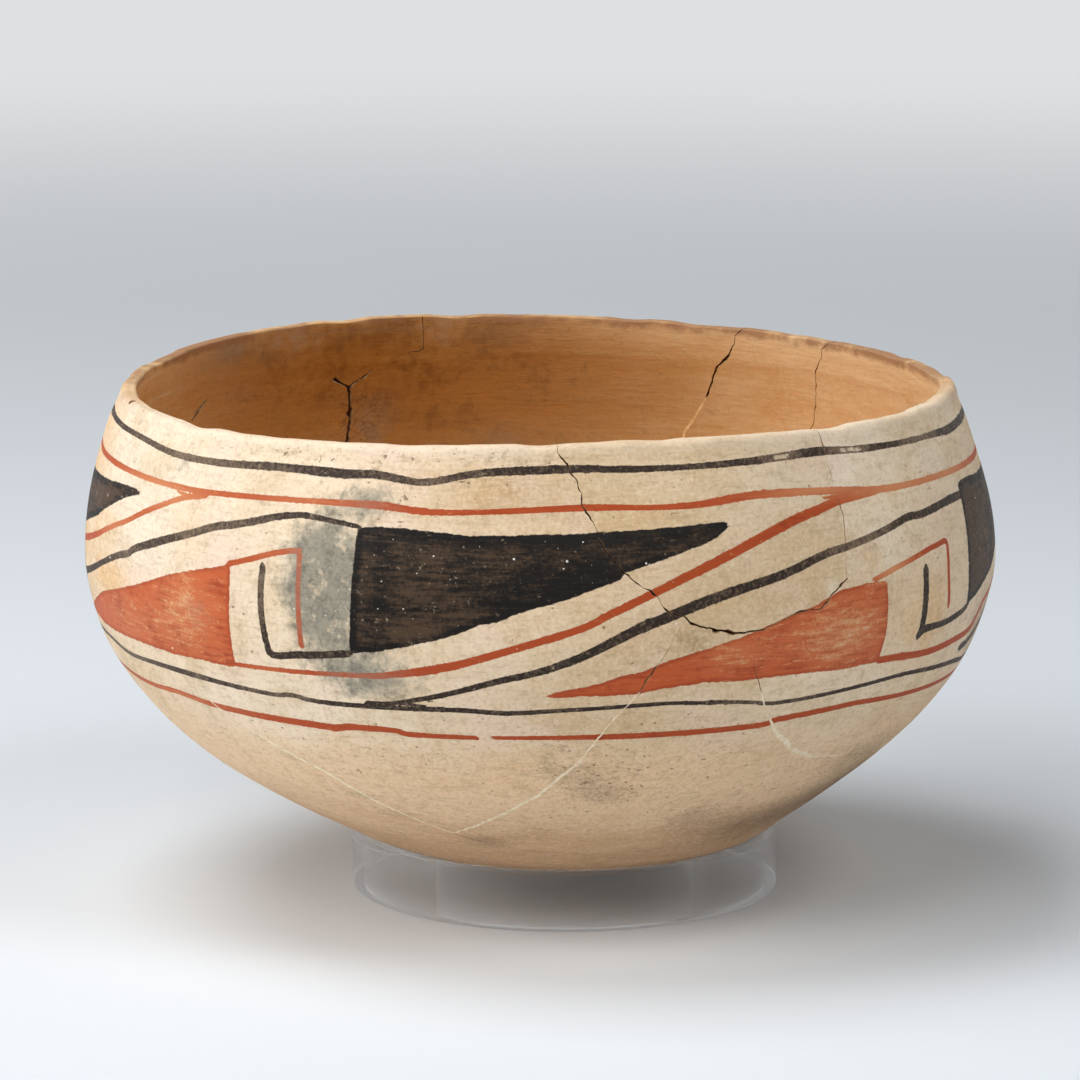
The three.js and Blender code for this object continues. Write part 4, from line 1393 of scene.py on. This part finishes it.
def empty_tree(name, sizes):
    """A geometry tree with named number inputs, a dictionary of those inputs, and its output."""
    tree = bpy.data.node_groups.new(name, "GeometryNodeTree")
    tree.interface.new_socket("Geometry", in_out="INPUT", socket_type="NodeSocketGeometry")
    for size, value in sizes.items():
        tree.interface.new_socket(size, in_out="INPUT", socket_type="NodeSocketFloat").default_value = value
    tree.interface.new_socket("Material", in_out="INPUT", socket_type="NodeSocketMaterial")
    tree.interface.new_socket("Geometry", in_out="OUTPUT", socket_type="NodeSocketGeometry")
    given = {socket.name: Value(tree, socket) for socket in tree.nodes.new("NodeGroupInput").outputs}
    return tree, given, tree.nodes.new("NodeGroupOutput").inputs[0]


def end_tree(tree, geometry, material, output):
    """Realize Instances and Set Material, as the export needs."""
    real = new_node(tree, "GeometryNodeRealizeInstances", {0: geometry})
    coated = new_node(tree, "GeometryNodeSetMaterial", {0: real.outputs[0], "Material": material})
    tree.links.new(coated.outputs[0], output)


def grown(name, start, tree, values):
    """The plain mesh that a geometry tree makes from a starting object, set by its inputs' identifiers."""
    modifier = start.modifiers.new("grow", "NODES")
    modifier.node_group = tree
    for item in tree.interface.items_tree:
        if item.in_out == "INPUT" and item.name in values:
            modifier[item.identifier] = values[item.name]
    mesh = modified_mesh(start)
    bpy.data.objects.remove(start)
    mesh.name = name
    return linked(bpy.data.objects.new(name, mesh))


ring_tree, given, result = empty_tree("sawn_tube", {
    "Outer Radius": RING_OUTER_RADIUS * MM, "Wall": RING_WALL * MM, "Height": RING_HEIGHT * MM,
    "Edge Rounding": RING_EDGE * MM, "Centre X": 0.0, "Centre Y": 0.0,
})
middle = given["Outer Radius"] - given["Wall"] * 0.5
circle = new_node(ring_tree, "GeometryNodeCurvePrimitiveCircle", {"Resolution": RING_SIDES, "Radius": middle})
section = new_node(ring_tree, "GeometryNodeCurvePrimitiveQuadrilateral",
                   {"Width": given["Wall"], "Height": given["Height"]})
rounded = new_node(ring_tree, "GeometryNodeFilletCurve",
                   {"Curve": section.outputs[0], "Radius": given["Edge Rounding"]})
swept = new_node(ring_tree, "GeometryNodeCurveToMesh",
                 {"Curve": circle.outputs[0], "Profile Curve": rounded.outputs[0]})
centre = new_node(ring_tree, "ShaderNodeCombineXYZ",
                  {0: given["Centre X"], 1: given["Centre Y"], 2: given["Height"] * 0.5})
placed = new_node(ring_tree, "GeometryNodeTransform", {0: swept.outputs[0], "Translation": centre.outputs[0]})
end_tree(ring_tree, placed.outputs[0], given["Material"], result)

tube_middle = (AXIS + RING_CENTRE) * MM
ring = grown("clear_display_ring", new_object("ring_start", np.zeros((1, 3)), []), ring_tree,
             {"Centre X": tube_middle[0], "Centre Y": tube_middle[1], "Material": clear})
smooth(ring.data)
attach(ring, "ring")
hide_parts("display_ring")
print("ring:", len(ring.data.vertices), "points, box in mm:",
      points_of(ring).min(0).round(2), points_of(ring).max(0).round(2))

# %% [markdown]
# ## Salt specks
# Salts crept out of the clay while it lay in the ground, and dried on the paint as white specks a few tenths
# of a millimetre wide. Geometry Nodes scatters them: a density stored on a copy of the wall says where, each
# point carries one flat little lump turned square to the wall, and small ones are far more common.

# %% Geometry Nodes for the specks
# Each patch: azimuth, height, half width and half height in mm, strength
SALTED = [
    (-14, 106, 34, 9, 1), (-15, 94, 20, 8, 0.8), (-33, 90, 12, 12, 0.5), (10, 112, 16, 6, 0.8),
    (-28, 104, 8, 16, 0.4), (-30, 124, 26, 8, 0.25), (16, 97, 5, 3, 1), (-66, 88, 30, 10, 0.2),
    (70, 100, 10, 12, 0.4),
]
SPECKS_PER_SQUARE_METRE = 50000
SPECK_SMALLEST, SPECK_LARGEST = 0.08, 0.38
SPECK_FLATNESS = 0.35
SPECK_POINTS = 12
SPECK_SEED = 5
# Only this part of the wall, from one height to the other, can carry specks
SALTED_FROM, SALTED_TO = 60, 133
SALTED_SPACING = 2.0

salt = bpy.data.materials.new("dried_salt")
crust = Recipe(salt)
crust.finish(crust.coats(pigment(226, 216, 198), (crust.noise(900), pigment(250, 246, 238))), 0.85, 0.2)

section_rows = evenly_spaced(OUTSIDE[:LIP_LEAVES[1]], SALTED_SPACING)
section_rows = section_rows[(section_rows[:, 1] > SALTED_FROM) & (section_rows[:, 1] < SALTED_TO)]
wall_azimuth = np.arange(-180, 180, 2)
wall_grid = wall_points(section_rows[:, :1], section_rows[:, 1:], wall_azimuth, OUTSIDE_SEED)
wall_faces = tube_faces(len(section_rows), len(wall_azimuth))
salted_wall = new_object("salted_wall", wall_grid.reshape(-1, 3), wall_faces)
azimuth_grid, height_grid = np.broadcast_arrays(wall_azimuth, section_rows[:, 1:])
salted = soft_patches(azimuth_grid.ravel(), height_grid.ravel(), SALTED)
stored_salt = salted_wall.data.attributes.new("salted", "FLOAT", "POINT")
stored_salt.data.foreach_set("value", salted.astype(np.float32))

salt_tree, given, result = empty_tree("salt_specks", {
    "Density": SPECKS_PER_SQUARE_METRE, "Smallest": SPECK_SMALLEST * MM, "Largest": SPECK_LARGEST * MM,
    "Flatness": SPECK_FLATNESS,
})
share = new_node(salt_tree, "GeometryNodeInputNamedAttribute", {"Name": "salted"}, data_type="FLOAT")
density = Value(salt_tree, share.outputs[0]) * given["Density"]
scattered = new_node(salt_tree, "GeometryNodeDistributePointsOnFaces",
                     {"Mesh": given["Geometry"], "Density": density, "Seed": SPECK_SEED})
drawn = new_node(salt_tree, "FunctionNodeRandomValue", {2: 0.0, 3: 1.0, 8: SPECK_SEED}, data_type="FLOAT")
mostly_small = Value(salt_tree, drawn.outputs[1]) ** 4
width = new_node(salt_tree, "ShaderNodeMapRange",
                 {"Value": mostly_small, "To Min": given["Smallest"], "To Max": given["Largest"]}).outputs[0]
height = Value(salt_tree, width) * given["Flatness"]
lump_size = new_node(salt_tree, "ShaderNodeCombineXYZ", {0: width, 1: width, 2: height})
lump = new_node(salt_tree, "GeometryNodeMeshIcoSphere", {"Radius": 1.0, "Subdivisions": 1})
placed = new_node(salt_tree, "GeometryNodeInstanceOnPoints", {
    "Points": scattered.outputs["Points"], "Instance": lump.outputs[0],
    "Rotation": scattered.outputs["Rotation"], "Scale": lump_size.outputs[0],
})
end_tree(salt_tree, placed.outputs[0], given["Material"], result)
specks = grown("salt_specks", salted_wall, salt_tree, {"Material": salt})
specks.data.shade_smooth()
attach(specks, "bowl")
print("salt specks:", len(specks.data.vertices) // SPECK_POINTS)

# %% [markdown]
# ## Floor and light
# A wide round floor of pale card. Far from the bowl it fades into a plain pale backdrop, which only rays from
# the camera, or through glass and off gloss, can see: so it looks the same from every side, and puts no light
# on the bowl. Soft lamps stand at the front left, left, top and right, and the room gives an even, weak fill.

# %% Stage and lamps
FLOOR_RADIUS = 12
FLOOR_SIDES = 96
FADE_FROM, FADE_TO = 0.6, 2.2
ROOM_LIGHT = 0.08
BACKDROP = pigment(222, 224, 226)


def show_backdrop(recipe, kind, share):
    """Where share is 1, rays from the camera, off gloss and through glass see the plain backdrop."""
    rays = recipe.node("ShaderNodeLightPath")
    camera_ray, glossy_ray, clear_ray = (
        recipe.value(rays, f"Is {ray} Ray") for ray in ("Camera", "Glossy", "Transmission"))
    seen = camera_ray.at_least(glossy_ray).at_least(clear_ray)
    plain = recipe.node(kind, {"Color": BACKDROP, "Strength": 1})
    mixed = recipe.node("ShaderNodeMixShader",
                        {0: seen * share, 1: recipe.shader.outputs[0], 2: plain.outputs[0]})
    last = next(node for node in recipe.tree.nodes if node.type.startswith("OUTPUT"))
    feed(recipe.tree, mixed.outputs[0], last.inputs["Surface"])


paper = bpy.data.materials.new("pale_card")
card = Recipe(paper)
card.finish(card.coats(pigment(226, 232, 238), (card.noise(3), pigment(231, 237, 243))), 0.9, 0.1)
off_middle = card.value(card.node("ShaderNodeVectorMath", {0: card.place}, operation="LENGTH"), "Value")
show_backdrop(card, "ShaderNodeEmission", off_middle.rise(FADE_FROM, FADE_TO))
turns = np.linspace(0, 2 * math.pi, FLOOR_SIDES + 1)[:-1]
floor_points = np.column_stack([np.cos(turns), np.sin(turns), 0 * turns]) * FLOOR_RADIUS / MM
floor = new_object("pale_floor", floor_points, [list(range(len(turns)))], paper)


def soft_lamp(name, place, size, power, aim=(0, 0, 0.08)):
    data = bpy.data.lights.new(name, "AREA")
    data.shape = "RECTANGLE"
    data.size, data.size_y, data.energy = *size, power
    lamp = linked(bpy.data.objects.new(name, data))
    lamp.location = place
    lamp.rotation_euler = (Vector(aim) - Vector(place)).to_track_quat("-Z", "Y").to_euler()


soft_lamp("key", (-0.75, -1.55, 1.5), (1.0, 1.0), 13.5)
soft_lamp("left", (-1.6, -0.5, 0.9), (0.9, 0.9), 14.5)
soft_lamp("top", (-0.65, 0.05, 1.8), (1.1, 1.0), 17)
soft_lamp("right", (1.25, -1.0, 1.7), (1.0, 1.0), 14)

world = bpy.data.worlds.new("room")
bpy.context.scene.world = world
room = Recipe(world, "BACKGROUND")
room.shader.inputs["Color"].default_value = (1, 1, 1, 1)
room.shader.inputs["Strength"].default_value = ROOM_LIGHT
show_backdrop(room, "ShaderNodeBackground", 1)
bpy.context.scene.view_settings.view_transform = "Standard"
print("lamps and floor in place")
